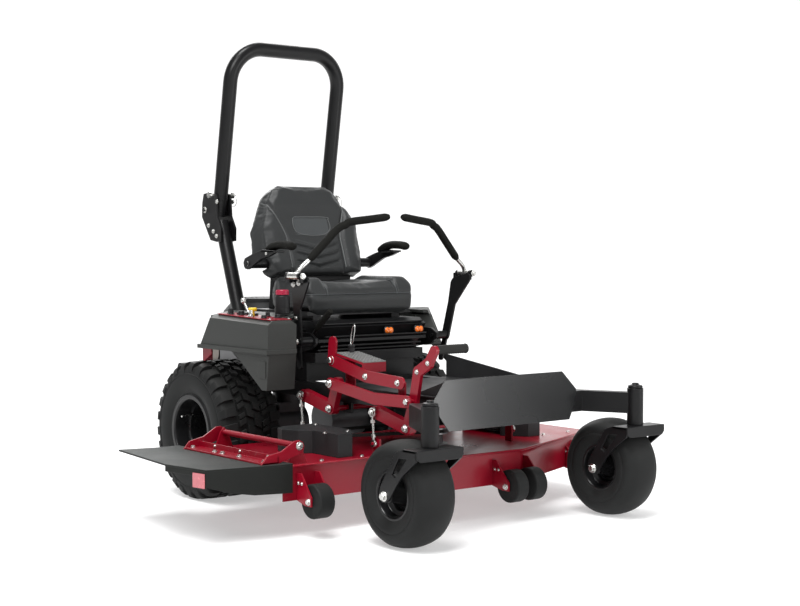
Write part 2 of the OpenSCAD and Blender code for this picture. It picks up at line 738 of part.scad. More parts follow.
module roller(r, xs, w) {
    color([0.12, 0.12, 0.12]) placed() {
        for (x = xs) rod_x(x, x + w, r[2], roller_z, roller_r);
        rod_x(r[0] - 14, r[1] + 14, r[2], roller_z, 8);
    }
}
module roller_right() { roller(rollers[0], [rollers[0][0]], 64); }
module roller_centre() { roller(rollers[1], [rollers[1][0], rollers[1][1] - 56], 56); }
module roller_left() { roller(rollers[2], [rollers[2][0]], 64); }

// ---- deck lift ----
module lift_pedal() {
    arm_end = front_shaft + front_arm;
    lug = front_shaft + crank_lug;
    color([0.62, 0.03, 0.1]) placed() {
        both_sides() {
            slab_x(305, 335) strap(front_shaft, arm_end, 46);
            rod_x(335, link_x + 3, arm_end[0], arm_end[1], 6);
        }
        mirror([1, 0, 0]) {
            slab_x(321, 335) {
                strap(front_shaft, lug, 44);
                strap(lug, [-1121, 576], 42);
                strap([-1121, 576], [-1180, 610], 40);
                strap([-1180, 610], [-1209, 655], 36);
            }
            rod_x(335, link_x + 16, lug[0], lug[1], 8);
            rod_x(194, 321, -1209, 658, 15);
        }
        rod_x(-305, 305, front_shaft[0], front_shaft[1], shaft_r);
    }
}
module lift_bellcrank() {
    arm_end = rear_shaft + rear_arm;
    lug = rear_shaft + crank_lug;
    color([0.62, 0.03, 0.1]) placed() {
        both_sides() {
            slab_x(305, 335) strap(rear_shaft, arm_end, 46);
            rod_x(335, link_x + 3, arm_end[0], arm_end[1], 6);
        }
        mirror([1, 0, 0]) {
            slab_x(311, 335) strap(rear_shaft, lug, 44);
            rod_x(335, link_x + 16, lug[0], lug[1], 8);
        }
        rod_x(-305, 305, rear_shaft[0], rear_shaft[1], shaft_r);
    }
}
module lift_link() {
    a = front_shaft + crank_lug;
    b = rear_shaft + crank_lug;
    knee = [(a[0] + b[0]) / 2 - 40, a[1] - 4];
    color([0.62, 0.03, 0.1]) placed() slab_x(-link_x - 14, -link_x - 6) difference() {
        union() {
            strap(a, knee, 44);
            strap(knee, b, 44);
        }
        translate(a) circle(r = 8.06);
        translate(b) circle(r = 10);
    }
}
module hanger(top, foot) {
    slab_x(link_x - 8, link_x) difference() {
        union() {
            strap(top, foot, 16);
            translate(top) circle(r = 18);
            translate(foot) circle(r = 14);
        }
        translate(top) circle(r = 12);
        translate(foot) circle(r = 6.06);
    }
}
module hangers_front() {
    color([0.7, 0.7, 0.68]) placed() both_sides()
        hanger(front_shaft + front_arm, [hanger_feet_y[0], hanger_foot_z]);
}
module hangers_rear() {
    color([0.7, 0.7, 0.68]) placed() both_sides()
        hanger(rear_shaft + rear_arm, [hanger_feet_y[1], hanger_foot_z]);
}

// ---- hand controls ----
module throttle_lever() {
    color([0.75, 0.75, 0.75]) placed() {
        rod_x(-478, -462, -250, 756, 5);
        bar([-470, -250, 756], [-470, -215, 800], 4);
        translate([-470, -213, 803]) sphere(r = 11);
    }
}
module pto_knob() {
    color([0.8, 0.7, 0.1]) placed() {
        translate([-505, -330, 747]) cylinder(r = 8, h = 22);
        translate([-505, -330, 769]) cylinder(r = 17, h = 12);
    }
}
module brake_lever() {
    color([0.1, 0.1, 0.1]) placed() {
        bar([-286, -400, 650], [-286, -455, 702], 7);
        bar([-286, -450, 698], [-286, -540, 769], 12);
        rod_x(-296, -272.4, -400, 650, 13);
    }
}

main_frame();
front_axle();
floor_pan();
front_panel();
fender_right();
fender_left();
console_plate();
seat_pod();
marker_lamps();
rops_posts();
engine_block();
engine_shroud();
air_cleaner();
muffler();
rear_bumper();
transaxles();
oil_reservoir();
height_quadrant();
rops_hoop();
rops_pins();
seat_pan();
seat_cushion();
seat_back();
armrest_right();
armrest_left();
lap_lever_right();
lap_lever_left();
lap_handle_right();
lap_handle_left();
lap_grip_right();
lap_grip_left();
rear_tyre_right();
rear_tyre_left();
rear_rim_right();
rear_rim_left();
caster_fork_right();
caster_fork_left();
caster_tyre_right();
caster_tyre_left();
caster_rim_right();
caster_rim_left();
deck_shell();
belt_covers();
spindle_housings();
deck_belt();
cutter_right();
cutter_centre();
cutter_left();
chute();
roller_right();
roller_centre();
roller_left();
lift_pedal();
lift_bellcrank();
lift_link();
hangers_front();
hangers_rear();
throttle_lever();
pto_knob();
brake_lever();
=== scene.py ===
import json
import math
import bpy
import bmesh
from mathutils import Matrix, Vector
from mathutils.bvhtree import BVHTree


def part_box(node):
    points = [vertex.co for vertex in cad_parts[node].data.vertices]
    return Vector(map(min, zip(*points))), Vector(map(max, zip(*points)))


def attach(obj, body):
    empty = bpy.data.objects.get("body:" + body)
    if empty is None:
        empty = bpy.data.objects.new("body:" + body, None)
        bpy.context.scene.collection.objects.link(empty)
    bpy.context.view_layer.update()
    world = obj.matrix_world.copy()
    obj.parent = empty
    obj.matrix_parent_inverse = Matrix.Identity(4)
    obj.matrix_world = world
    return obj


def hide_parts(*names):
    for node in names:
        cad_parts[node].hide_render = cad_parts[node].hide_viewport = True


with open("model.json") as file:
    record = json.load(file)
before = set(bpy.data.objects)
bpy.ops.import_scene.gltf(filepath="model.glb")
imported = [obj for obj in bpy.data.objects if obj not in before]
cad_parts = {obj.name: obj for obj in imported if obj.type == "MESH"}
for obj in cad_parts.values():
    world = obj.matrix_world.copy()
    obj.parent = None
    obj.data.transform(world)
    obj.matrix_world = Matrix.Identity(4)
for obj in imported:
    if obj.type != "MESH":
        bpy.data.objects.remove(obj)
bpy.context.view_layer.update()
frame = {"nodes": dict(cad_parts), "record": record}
NODES = frame["nodes"]

# Pieces are laid out in the machine's own millimetres: x = 0 on the centre plane, y = 0 at the rear axle,
# z = 0 on the ground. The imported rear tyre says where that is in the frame.
WHEEL_X = 459
TYRE_Z = 279
_lo, _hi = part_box("rear_tyre_right")
SHIFT = Vector(((_lo.x + _hi.x) / 2 + WHEEL_X / 1000, (_lo.y + _hi.y) / 2, 0.0))
TO_ROW = Matrix.Translation(SHIFT) @ Matrix.Scale(0.001, 4)


def row(x, y, z):
    return TO_ROW @ Vector((x, y, z))


# ---------------------------------------------------------------- camera
cam = bpy.data.objects.new("camera", bpy.data.cameras.new("camera"))
bpy.context.scene.collection.objects.link(cam)
cam.location = row(-3646, -5151, 1027)
cam.rotation_euler = (math.radians(87.88), 0, math.radians(-38.72))
cam.data.lens = 66.857
cam.data.sensor_width = 36
cam.data.shift_x = 0.0012
cam.data.shift_y = -0.0052
bpy.context.scene.camera = cam
bpy.context.scene.view_settings.view_transform = "Standard"


# ---------------------------------------------------------------- materials
def surface(name, colour, rough, metal=0.0, spec=0.5, coat=0.0, coat_rough=0.1, sheen=0.0, tone=(5.0, 0.12),
            grain=(260.0, 0.15), kind="noise", gloss=0.08, dust_and_top_light=0.0, dust_and_top_light_colour=(0.3, 0.29, 0.27)):
    """Tone is the scale and strength of a slow drift in colour, grain those of a fine relief. The up-facing
    mix lightens faces that look up: settled dust, and on the chute rubber a painted top light.
    """
    m = bpy.data.materials.new(name)
    m.use_nodes = True
    nt = m.node_tree
    nt.nodes.clear()
    out = nt.nodes.new("ShaderNodeOutputMaterial")
    b = nt.nodes.new("ShaderNodeBsdfPrincipled")
    nt.links.new(b.outputs[0], out.inputs[0])
    b.inputs["Metallic"].default_value = metal
    b.inputs["Specular IOR Level"].default_value = spec
    b.inputs["Coat Weight"].default_value = coat
    b.inputs["Coat Roughness"].default_value = coat_rough
    b.inputs["Sheen Weight"].default_value = sheen
    pos = nt.nodes.new("ShaderNodeTexCoord")
    big = nt.nodes.new("ShaderNodeTexNoise")
    big.inputs["Scale"].default_value = tone[0]
    big.inputs["Detail"].default_value = 5
    nt.links.new(pos.outputs["Object"], big.inputs["Vector"])
    ramp = nt.nodes.new("ShaderNodeValToRGB")
    k = tone[1]
    ramp.color_ramp.elements[0].position = 0.3
    ramp.color_ramp.elements[1].position = 0.7
    ramp.color_ramp.elements[0].color = [c * (1 - k) for c in colour] + [1]
    ramp.color_ramp.elements[1].color = [min(1, c * (1 + k)) for c in colour] + [1]
    nt.links.new(big.outputs["Fac"], ramp.inputs[0])
    last = ramp.outputs[0]
    if dust_and_top_light:
        # settled dust on what faces up; on the chute rubber it is painted top light, up-facing faces made
        # lighter as if lit from above
        geo = nt.nodes.new("ShaderNodeNewGeometry")
        sep = nt.nodes.new("ShaderNodeSeparateXYZ")
        nt.links.new(geo.outputs["Normal"], sep.inputs[0])
        rng = nt.nodes.new("ShaderNodeMapRange")
        rng.inputs["From Min"].default_value = 0.2
        rng.inputs["From Max"].default_value = 1.0
        rng.inputs["To Max"].default_value = dust_and_top_light
        nt.links.new(sep.outputs["Z"], rng.inputs["Value"])
        mix = nt.nodes.new("ShaderNodeMix")
        mix.data_type = "RGBA"
        mix.inputs["B"].default_value = list(dust_and_top_light_colour) + [1]
        nt.links.new(rng.outputs[0], mix.inputs["Factor"])
        nt.links.new(last, mix.inputs["A"])
        last = mix.outputs["Result"]
    nt.links.new(last, b.inputs["Base Color"])
    fine = nt.nodes.new("ShaderNodeTexVoronoi" if kind == "voronoi" else "ShaderNodeTexNoise")
    fine.inputs["Scale"].default_value = grain[0]
    if kind != "voronoi":
        fine.inputs["Detail"].default_value = 3
    nt.links.new(pos.outputs["Object"], fine.inputs["Vector"])
    fac = fine.outputs["Distance"] if kind == "voronoi" else fine.outputs["Fac"]
    rr = nt.nodes.new("ShaderNodeMapRange")
    rr.inputs["From Min"].default_value = 0.25
    rr.inputs["From Max"].default_value = 0.75
    rr.inputs["To Min"].default_value = max(0.02, rough - gloss)
    rr.inputs["To Max"].default_value = min(1.0, rough + gloss)
    nt.links.new(big.outputs["Fac"], rr.inputs["Value"])
    nt.links.new(rr.outputs[0], b.inputs["Roughness"])
    if grain[1]:
        bp = nt.nodes.new("ShaderNodeBump")
        bp.inputs["Strength"].default_value = grain[1]
        bp.inputs["Distance"].default_value = 0.0006
        nt.links.new(fac, bp.inputs["Height"])
        nt.links.new(bp.outputs[0], b.inputs["Normal"])
    return m


MATS = {
    "frame_black": surface("frame_black", (0.007, 0.007, 0.0075), 0.34, spec=0.25, tone=(7, 0.2),
                           grain=(420, 0.2)),
    "panel_gloss": surface("panel_gloss", (0.006, 0.0065, 0.007), 0.26, spec=0.25, coat=0.45,
                           coat_rough=0.14, tone=(3, 0.1), grain=(90, 0.03), gloss=0.04),
    "fender_plastic": surface("fender_plastic", (0.03, 0.032, 0.03), 0.48, spec=0.28, tone=(4, 0.08),
                              grain=(600, 0.35), dust_and_top_light=0.04),
    "deck_red": surface("deck_red", (0.24, 0.002, 0.013), 0.32, spec=0.3, coat=0.15, coat_rough=0.15,
                        tone=(6, 0.1), grain=(350, 0.12)),
    "cover_plastic": surface("cover_plastic", (0.02, 0.021, 0.022), 0.5, spec=0.25, tone=(8, 0.12),
                             grain=(500, 0.4)),
    "engine_metal": surface("engine_metal", (0.2, 0.2, 0.205), 0.42, metal=0.85, tone=(9, 0.2),
                            grain=(160, 0.5)),
    "drive_metal": surface("drive_metal", (0.05, 0.05, 0.052), 0.45, metal=0.7, tone=(10, 0.25),
                           grain=(140, 0.6)),
    "exhaust_steel": surface("exhaust_steel", (0.3, 0.27, 0.24), 0.4, metal=0.95, tone=(6, 0.3),
                             grain=(220, 0.2)),
    "blade_steel": surface("blade_steel", (0.4, 0.4, 0.41), 0.34, metal=1.0, tone=(12, 0.25),
                           grain=(300, 0.2)),
    "zinc": surface("zinc", (0.62, 0.62, 0.6), 0.28, metal=1.0, tone=(40, 0.12), grain=(500, 0.1)),
    "seat_vinyl": surface("seat_vinyl", (0.027, 0.0285, 0.029), 0.42, spec=0.28, sheen=0.03,
                          tone=(6, 0.07), grain=(420, 0.42), kind="voronoi"),
    "grip_foam": surface("grip_foam", (0.009, 0.009, 0.008), 0.75, spec=0.1, tone=(12, 0.12),
                         grain=(900, 0.6),
                         kind="voronoi"),
    "tyre_rubber": surface("tyre_rubber", (0.013, 0.0135, 0.0135), 0.6, spec=0.16, tone=(9, 0.22),
                           grain=(240, 0.35), dust_and_top_light=0.03),
    # the chute's up-facing lightening is painted top light, standing for light from above, not dust
    "chute_rubber": surface("chute_rubber", (0.012, 0.013, 0.012), 0.55, spec=0.16, tone=(5, 0.12),
                            grain=(320, 0.3), dust_and_top_light=0.25, dust_and_top_light_colour=(0.09, 0.1, 0.095)),
    "lamp_amber": surface("lamp_amber", (0.9, 0.18, 0.01), 0.2, coat=0.5, tone=(60, 0.15), grain=(90, 0.1)),
    "switch_yellow": surface("switch_yellow", (0.75, 0.5, 0.02), 0.35, tone=(30, 0.1), grain=(200, 0.1)),
}
# Looks that differ from their slot's own
MATS.update({
    "vinyl_light": surface("vinyl_light", (0.055, 0.059, 0.061), 0.46, spec=0.3, tone=(6, 0.07),
                           grain=(300, 0.5),
                           kind="voronoi"),
    "piping": surface("piping", (0.1, 0.105, 0.105), 0.45, tone=(9, 0.1), grain=(500, 0.3)),
    "rim_black": surface("rim_black", (0.007, 0.007, 0.0075), 0.3, spec=0.3, coat=0.1, tone=(8, 0.2),
                         grain=(380, 0.12)),
    "cap_red": surface("cap_red", (0.36, 0.006, 0.04), 0.35, tone=(20, 0.1), grain=(200, 0.1)),
    "reflector": surface("reflector", (0.5, 0.12, 0.14), 0.25, coat=0.6, tone=(50, 0.1), grain=(300, 0.5),
                         kind="voronoi"),
    "knob_black": surface("knob_black", (0.01, 0.01, 0.011), 0.42, spec=0.3, tone=(20, 0.15),
                          grain=(400, 0.2)),
    "foot_rubber": surface("foot_rubber", (0.018, 0.018, 0.017), 0.6, spec=0.2, tone=(15, 0.15),
                           grain=(300, 0.4)),
    "pan_grey": surface("pan_grey", (0.022, 0.022, 0.023), 0.42, spec=0.3, tone=(6, 0.15), grain=(300, 0.3)),
    "tread_grey": surface("tread_grey", (0.17, 0.175, 0.17), 0.45, metal=0.3, tone=(15, 0.15),
                          grain=(300, 0.3)),
})
SLOT_OF = {s["node"]: s["material_slot"] for s in frame["record"]["subparts"]}
for node_name, ob in NODES.items():
    ob.data.materials.clear()
    ob.data.materials.append(MATS[SLOT_OF[node_name]])


# ---------------------------------------------------------------- mesh helpers
def link(ob):
    bpy.context.scene.collection.objects.link(ob)
    return ob


def bake(ob):
    """Applies the object's modifiers to its mesh."""
    deps = bpy.context.evaluated_depsgraph_get()
    me = bpy.data.meshes.new_from_object(ob.evaluated_get(deps))
    ob.modifiers.clear()
    ob.data = me
    return ob


def shade(ob, angle=35):
    ob.data.shade_smooth()
    ob.data.set_sharp_from_angle(angle=math.radians(angle))
    return ob


def bevel(ob, width, segments=2, angle=32):
    """Rounds sharp edges by width millimetres."""
    m = ob.modifiers.new("b", "BEVEL")
    m.width = width / 1000
    m.segments = segments
    m.limit_method = "ANGLE"
    m.angle_limit = math.radians(angle)
    m.harden_normals = False
    bake(ob)
    ob.data.shade_smooth()
    w = ob.modifiers.new("w", "WEIGHTED_NORMAL")
    w.keep_sharp = True
    w.weight = 80
    return bake(ob)


def piece(name, bm, body, slot, *nodes, round_by=0.0, segments=2, angle=35, look=None):
    """Turns a bmesh in machine millimetres into a piece that rides on a body."""
    bm.normal_update()
    bmesh.ops.recalc_face_normals(bm, faces=bm.faces)
    me = bpy.data.meshes.new(name)
    bm.to_mesh(me)
    bm.free()
    me.transform(TO_ROW)
    ob = link(bpy.data.objects.new(name, me))
    shade(ob, angle)
    if round_by:
        bevel(ob, round_by, segments)
    return place(ob, body, slot, *nodes, look=look)


def place(ob, body, slot, *nodes, look=None):
    """Puts a finished object on a body, in a slot, in place of the CAD nodes named."""
    ob.data.materials.clear()
    ob.data.materials.append(MATS[look or slot])
    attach(ob, body)
    if nodes:
        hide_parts(*nodes)
    return ob


def box(bm, lo, hi):
    r = bmesh.ops.create_cube(bm, size=1)
    for v in r["verts"]:
        v.co = Vector([lo[i] + (v.co[i] + 0.5) * (hi[i] - lo[i]) for i in range(3)])


def prism(bm, outline, axis, a0, a1):
    """An outline in the two other axes, in x, y, z order, carried along the axis."""
    other = [i for i in range(3) if i != axis]
    rings = []
    for a in (a0, a1):
        ring = []
        for p in outline:
            c = [0, 0, 0]
            c[axis] = a
            c[other[0]], c[other[1]] = p
            ring.append(bm.verts.new(c))
        rings.append(ring)
    n = len(outline)
    bm.faces.new(rings[0])
    bm.faces.new(list(reversed(rings[1])))
    for i in range(n):
        bm.faces.new([rings[0][i], rings[0][(i + 1) % n], rings[1][(i + 1) % n], rings[1][i]])


def smooth_path(pts, n=8):
    """Catmull-Rom through the points."""
    pts = [Vector(p) for p in pts]
    ext = [pts[0] * 2 - pts[1]] + pts + [pts[-1] * 2 - pts[-2]]
    out = []
    for i in range(1, len(ext) - 2):
        a, b, c, d = ext[i - 1:i + 3]
        for k in range(n):
            t = k / n
            out.append(0.5 * ((2 * b) + (c - a) * t + (2 * a - 5 * b + 4 * c - d) * t * t
                              + (3 * b - a - 3 * c + d) * t ** 3))
    out.append(pts[-1])
    return out


def circle(u, w, seg):
    """Directions around a circle in the plane of u and w."""
    return [u * math.cos(2 * math.pi * k / seg) + w * math.sin(2 * math.pi * k / seg) for k in range(seg)]


def tube(bm, pts, r, seg=14, cap=True, flat=1.0):
    """Sweeps a round section along the points; r is a number or one radius per point."""
    pts = [Vector(p) for p in pts]
    rs = r if isinstance(r, (list, tuple)) else [r] * len(pts)
    t0 = (pts[1] - pts[0]).normalized()
    up = Vector((0, 0, 1)) if abs(t0.z) < 0.9 else Vector((0, 1, 0))
    nrm = t0.cross(up).normalized()
    rings = []
    for i, p in enumerate(pts):
        t = (pts[min(i + 1, len(pts) - 1)] - pts[max(i - 1, 0)]).normalized()
        nrm = (nrm - t * nrm.dot(t)).normalized()
        rings.append([bm.verts.new(p + d * rs[i]) for d in circle(nrm, t.cross(nrm) * flat, seg)])
    for a, b in zip(rings, rings[1:]):
        for k in range(seg):
            bm.faces.new([a[k], a[(k + 1) % seg], b[(k + 1) % seg], b[k]])
    if cap:
        bm.faces.new(list(reversed(rings[0])))
        bm.faces.new(rings[-1])


def lathe(bm, prof, centre, axis, seg=48, closed=False):
    """Turns (radius, along) points about an axis through centre."""
    ax = Vector(axis).normalized()
    u = ax.orthogonal().normalized()
    w = ax.cross(u)
    c = Vector(centre)
    rings = []
    for r, h in prof:
        if r < 1e-6:
            rings.append([bm.verts.new(c + ax * h)])
        else:
            rings.append([bm.verts.new(c + ax * h + d * r) for d in circle(u, w, seg)])
    pairs = list(zip(rings, rings[1:]))
    if closed:
        pairs.append((rings[-1], rings[0]))
    for a, b in pairs:
        for k in range(seg):
            k2 = (k + 1) % seg
            if len(a) == 1 and len(b) == 1:
                continue
            if len(a) == 1:
                bm.faces.new([a[0], b[k2], b[k]])
            elif len(b) == 1:
                bm.faces.new([a[k], a[k2], b[0]])
            else:
                bm.faces.new([a[k], a[k2], b[k2], b[k]])
    if not closed:
        for ring, flip in ((rings[0], True), (rings[-1], False)):
            if len(ring) > 1:
                bm.faces.new(list(reversed(ring)) if flip else ring)


def bolt(bm, at, axis, r=8):
    """Hex head on a washer."""
    lathe(bm, [(0, -1), (r * 1.35, -1), (r * 1.35, 1.2), (r * 1.25, 1.8), (0, 1.8)], at, axis, 20)
    lathe(bm, [(0, 1), (r, 1), (r, r * 0.75), (r * 0.86, r * 0.9), (0, r * 0.9)], at, axis, 6)


def refine(node, width, body, segments=2, look=None):
    """A copy of a CAD node with its edges rounded by width millimetres, which stands for it."""
    me = NODES[node].data.copy()
    ob = link(bpy.data.objects.new(node + "_skin", me))
    bm = bmesh.new()
    bm.from_mesh(me)
    bmesh.ops.remove_doubles(bm, verts=bm.verts, dist=1e-5)
    bmesh.ops.dissolve_limit(bm, angle_limit=math.radians(1.0), verts=bm.verts, edges=bm.edges)
    bm.to_mesh(me)
    bm.free()
    ob.data.shade_smooth()
    bevel(ob, width, segments)
    return place(ob, body, SLOT_OF[node], node, look=look)


# ---------------------------------------------------------------- rear wheels
def rear_wheel(s, side):
    cx = s * WHEEL_X
    body = "rear_wheel_" + side
    bm = bmesh.new()
    outer = [(134, -102), (136, -114), (144, -122), (149, -127), (154, -126), (160, -129), (172, -134),
             (186, -137), (205, -137.5), (222, -136), (226, -133.5), (230, -136), (244, -133), (254, -126),
             (260, -114), (263, -96), (264, -50), (264.5, 0)]
    prof = outer + [(r, -h) for r, h in reversed(outer[:-1])]
    prof += [(158, 92), (238, 70), (238, -70), (158, -92)]
    lathe(bm, prof, (cx, 0, TYRE_Z), (1, 0, 0), 96, closed=True)
    pitches = 26

    def lug(sections, a_in, a_out, width_in, width_out):
        """Sections run outward: x, top radius, bottom radius; the angles set the slant."""
        rows = []
        n = len(sections)
        for i, (x, top, low) in enumerate(sections):
            t = i / (n - 1)
            mid = a_in + (a_out - a_in) * t
            wd = (width_in + (width_out - width_in) * t) / 2
            quad = []
            foot = wd * 1.12
            for ang, rad in ((mid - foot, low), (mid - wd, top), (mid + wd, top), (mid + foot, low)):
                quad.append(bm.verts.new((cx + x, -math.sin(ang) * rad, TYRE_Z + math.cos(ang) * rad)))
            rows.append(quad)
        for q, p in zip(rows, rows[1:]):
            for k in range(4):
                bm.faces.new([q[k], q[(k + 1) % 4], p[(k + 1) % 4], p[k]])
        bm.faces.new(rows[0])
        bm.faces.new(list(reversed(rows[-1])))

    step = 2 * math.pi / pitches
    for k in range(pitches):
        for d in (-1, 1):
            a = k * step + (step / 2 if d > 0 else 0)
            # shoulder lug, wrapped over the edge, alternately long and short
            long = 8 if k % 2 else 0
            lug([(d * 78, 277.5, 258), (d * 104, 277, 256), (d * 122, 272, 250), (d * 133, 259, 244),
                 (d * 136.5, 244 - long, 238 - long)], a, a - d * step * 0.16, step * 0.56, step * 0.5)
            # middle block with a sipe beside it
            lug([(d * 38, 279, 258), (d * 68, 278.4, 258)],
                a + d * step * 0.42, a + d * step * 0.22, step * 0.3, step * 0.34)
            lug([(d * 40, 279, 258), (d * 66, 278.4, 258)],
                a + d * step * 0.78, a + d * step * 0.6, step * 0.24, step * 0.26)
        a = k * step
        # centre blocks, in a zigzag
        lug([(-30, 279, 260), (-2, 279, 260)], a + step * 0.1, a + step * 0.3, step * 0.46, step * 0.42)
        lug([(3, 279, 260), (31, 279, 260)], a + step * 0.72, a + step * 0.9, step * 0.42, step * 0.46)
    piece("rear_tread_" + side, bm, body, "tyre_rubber", "rear_tyre_" + side,
          round_by=1.6, segments=1, angle=40)
    # rim: outer barrel, deep disc, hub, wheel nuts and valve
    bm = bmesh.new()
    ax = (s, 0, 0)
    barrel = [(126, -127), (128, -130), (142, -130), (146.5, -127), (146.5, -120), (141, -114), (134, -104),
              (130, -70), (118, -60), (118, 60), (130, 70), (134, 104), (141, 114), (146.5, 120),
              (147.5, 127), (143, 131), (129, 131), (124, 126), (121, 110), (119, 74), (111, 62), (110, -60),
              (121, -76)]
    lathe(bm, barrel, (cx, 0, TYRE_Z), ax, 72, closed=True)
    disc = [(0, -20), (30, -20), (34, -14), (56, -14), (66, -24), (92, -36), (112, -40),
            (112, -47), (92, -44), (64, -33), (54, -24), (17, -24), (17, -30), (0, -30)]
    lathe(bm, disc, (cx, 0, TYRE_Z), ax, 60)
    lathe(bm, [(0, -16), (24, -16), (24, 6), (20, 10), (0, 10)], (cx, 0, TYRE_Z), ax, 40)
    piece("rear_rim_" + side + "_steel", bm, body, "frame_black", "rear_rim_" + side,
          round_by=1.0, segments=1, look="rim_black")
    bm = bmesh.new()
    for k in range(5):
        a = 2 * math.pi * (k + 0.3) / 5
        bolt(bm, (cx - s * 14, math.cos(a) * 45, TYRE_Z + math.sin(a) * 45), ax, 10)
    valve = [(60, 98, 52), (100, 92, 50), (118, 88, 48)]
    tube(bm, [(cx + s * x, y, TYRE_Z + z) for x, y, z in valve], [5, 4.5, 3.6])
    piece("rear_nuts_" + side, bm, body, "zinc", round_by=0.6, segments=1)


# ---------------------------------------------------------------- casters
CASTER_X, CASTER_Y, CASTER_Z = 499, -1270, 184
STEM_Y = -1390


def windowed_plate(bm, outline, window, x0, x1):
    """A plate from x0 to x1 whose faces run from each outline point to the window's nearest corner."""
    mid = Vector((sum(p[0] for p in window), sum(p[1] for p in window))) / len(window)

    def away(p):
        return (Vector(p) - mid).normalized()

    inner = [min(window, key=lambda q: -away(q).dot(away(p))) for p in outline]
    sides = [([bm.verts.new((x, *p)) for p in outline], {p: bm.verts.new((x, *p)) for p in window})
             for x in (x0, x1)]
    n = len(outline)
    for o, h in sides:
        for i in range(n):
            j = (i + 1) % n
            face = [o[i], o[j], h[inner[j]]]
            if inner[i] != inner[j]:
                face.append(h[inner[i]])
            bm.faces.new(face)
    (o0, h0), (o1, h1) = sides
    for i in range(n):
        j = (i + 1) % n
        bm.faces.new([o0[i], o0[j], o1[j], o1[i]])
    used = [p for i, p in enumerate(inner) if p != inner[i - 1]]
    for a, b in zip(used, used[1:] + used[:1]):
        bm.faces.new([h0[a], h0[b], h1[b], h1[a]])
    for v in list(h0.values()) + list(h1.values()):
        if not v.link_faces:
            bm.verts.remove(v)


def caster(s, side):
    cx, cy, cz = s * CASTER_X, CASTER_Y, CASTER_Z
    body = "caster_wheel_" + side
    bm = bmesh.new()
    outer = [(80, -54), (83, -62), (90, -68), (98, -70), (108, -76), (120, -80), (128, -80.5), (131, -78.5),
             (135, -81), (150, -80), (163, -73), (174, -58), (180, -38), (183, -18), (184, 0)]
    prof = outer + [(r, -h) for r, h in reversed(outer[:-1])]
    prof += [(96, 44), (150, 40), (150, -40), (96, -44)]
    lathe(bm, prof, (cx, cy, cz), (1, 0, 0), 96, closed=True)
    piece("caster_tread_" + side, bm, body, "tyre_rubber", "caster_tyre_" + side, angle=50)
    bm = bmesh.new()
    rim = [(76, -60), (80, -66), (88, -66), (90, -62), (86, -56), (80, -50), (79, -30), (66, -24), (66, 24),
           (79, 30), (80, 50), (86, 56), (90, 62), (88, 66), (80, 66), (75, 60), (72, 36), (58, 28),
           (58, -28), (72, -36)]
    lathe(bm, rim, (cx, cy, cz), (1, 0, 0), 64, closed=True)
    hub = [(0, 4), (60, 8), (60, 12), (44, 18), (36, 30), (30, 44), (24, 60), (23, 84), (18, 86), (0, 86)]
    for d in (-1, 1):
        lathe(bm, hub, (cx, cy, cz), (d, 0, 0), 48)
    piece("caster_rim_" + side + "_steel", bm, body, "frame_black", "caster_rim_" + side,
          round_by=0.8, segments=1, look="rim_black")
    # fork
    body = "caster_" + side
    bm = bmesh.new()
    leg = [(-1440, 352), (-1372, 352), (-1330, 338), (-1250, 214), (-1244, 192), (-1248, 172), (-1262, 162),
           (-1282, 164), (-1300, 178), (-1340, 232), (-1366, 262), (-1438, 316)]
    window = [(-1392, 322), (-1348, 320), (-1312, 262), (-1330, 252), (-1364, 290)]
    for d in (-1, 1):
        windowed_plate(bm, leg, window, cx + d * 93, cx + d * 101)
    prism(bm, [(cx - 101, 343), (cx - 101, 352), (cx - 84, 352.6), (cx + 84, 352.6), (cx + 101, 352),
               (cx + 101, 343)], 1, -1440, -1370)
    # front plate folded down from the top plate, with angled shoulders behind it
    prism(bm, [(cx - 101, 352), (cx - 101, 326), (cx - 84, 314), (cx + 84, 314), (cx + 101, 326),
               (cx + 101, 352)], 1, -1445, -1439)
    for d in (-1, 1):
        prism(bm, [(cx + d * 101, 343), (cx + d * 101, 318), (cx + d * 96, 318), (cx + d * 62, 343)],
              1, -1440, -1434)
    stem = [(0, 343), (26, 343), (24, 352.6), (15.9, 352.6), (15.9, 490), (27, 490.6), (28, 494), (26, 500),
            (14, 503), (12, 509), (0, 510)]
    lathe(bm, stem, (cx, STEM_Y, 0), (0, 0, 1), 40)
    tube(bm, [(cx - 93, cy, cz), (cx + 93, cy, cz)], 9)
    piece("caster_fork_" + side + "_plate", bm, body, "frame_black", "caster_fork_" + side, round_by=1.4)
    bm = bmesh.new()
    for d in (-1, 1):
        bolt(bm, (cx + d * 101.5, cy, cz), (d, 0, 0), 13)
    piece("caster_nuts_" + side, bm, body, "zinc", round_by=0.7, segments=1)


for s, side in ((-1, "right"), (1, "left")):
    rear_wheel(s, side)
    caster(s, side)


# ---------------------------------------------------------------- seat
def puff(ob, voxel=0.006, pressure=4.0, cap=0.012):
    """Voxel remesh, then cloth under pressure with no gravity, its movement capped."""
    m = ob.modifiers.new("r", "REMESH")
    m.mode = "VOXEL"
    m.voxel_size = voxel
    bake(ob)
    scene = bpy.context.scene
    rest = [v.co.copy() for v in ob.data.vertices]
    c = ob.modifiers.new("c", "CLOTH")
    c.settings.use_pressure = True
    c.settings.uniform_pressure_force = pressure
    c.settings.effector_weights.gravity = 0
    c.settings.quality = 4
    c.collision_settings.use_collision = False
    c.point_cache.frame_start = 1
    c.point_cache.frame_end = 20
    for f in range(1, 21):
        scene.frame_set(f)
    bake(ob)
    for v, r in zip(ob.data.vertices, rest):
        d = v.co - r
        if d.length > cap:
            v.co = r + d.normalized() * cap
    scene.frame_set(1)
    m = ob.modifiers.new("s", "SMOOTH")
    m.iterations = 6
    return bake(ob)


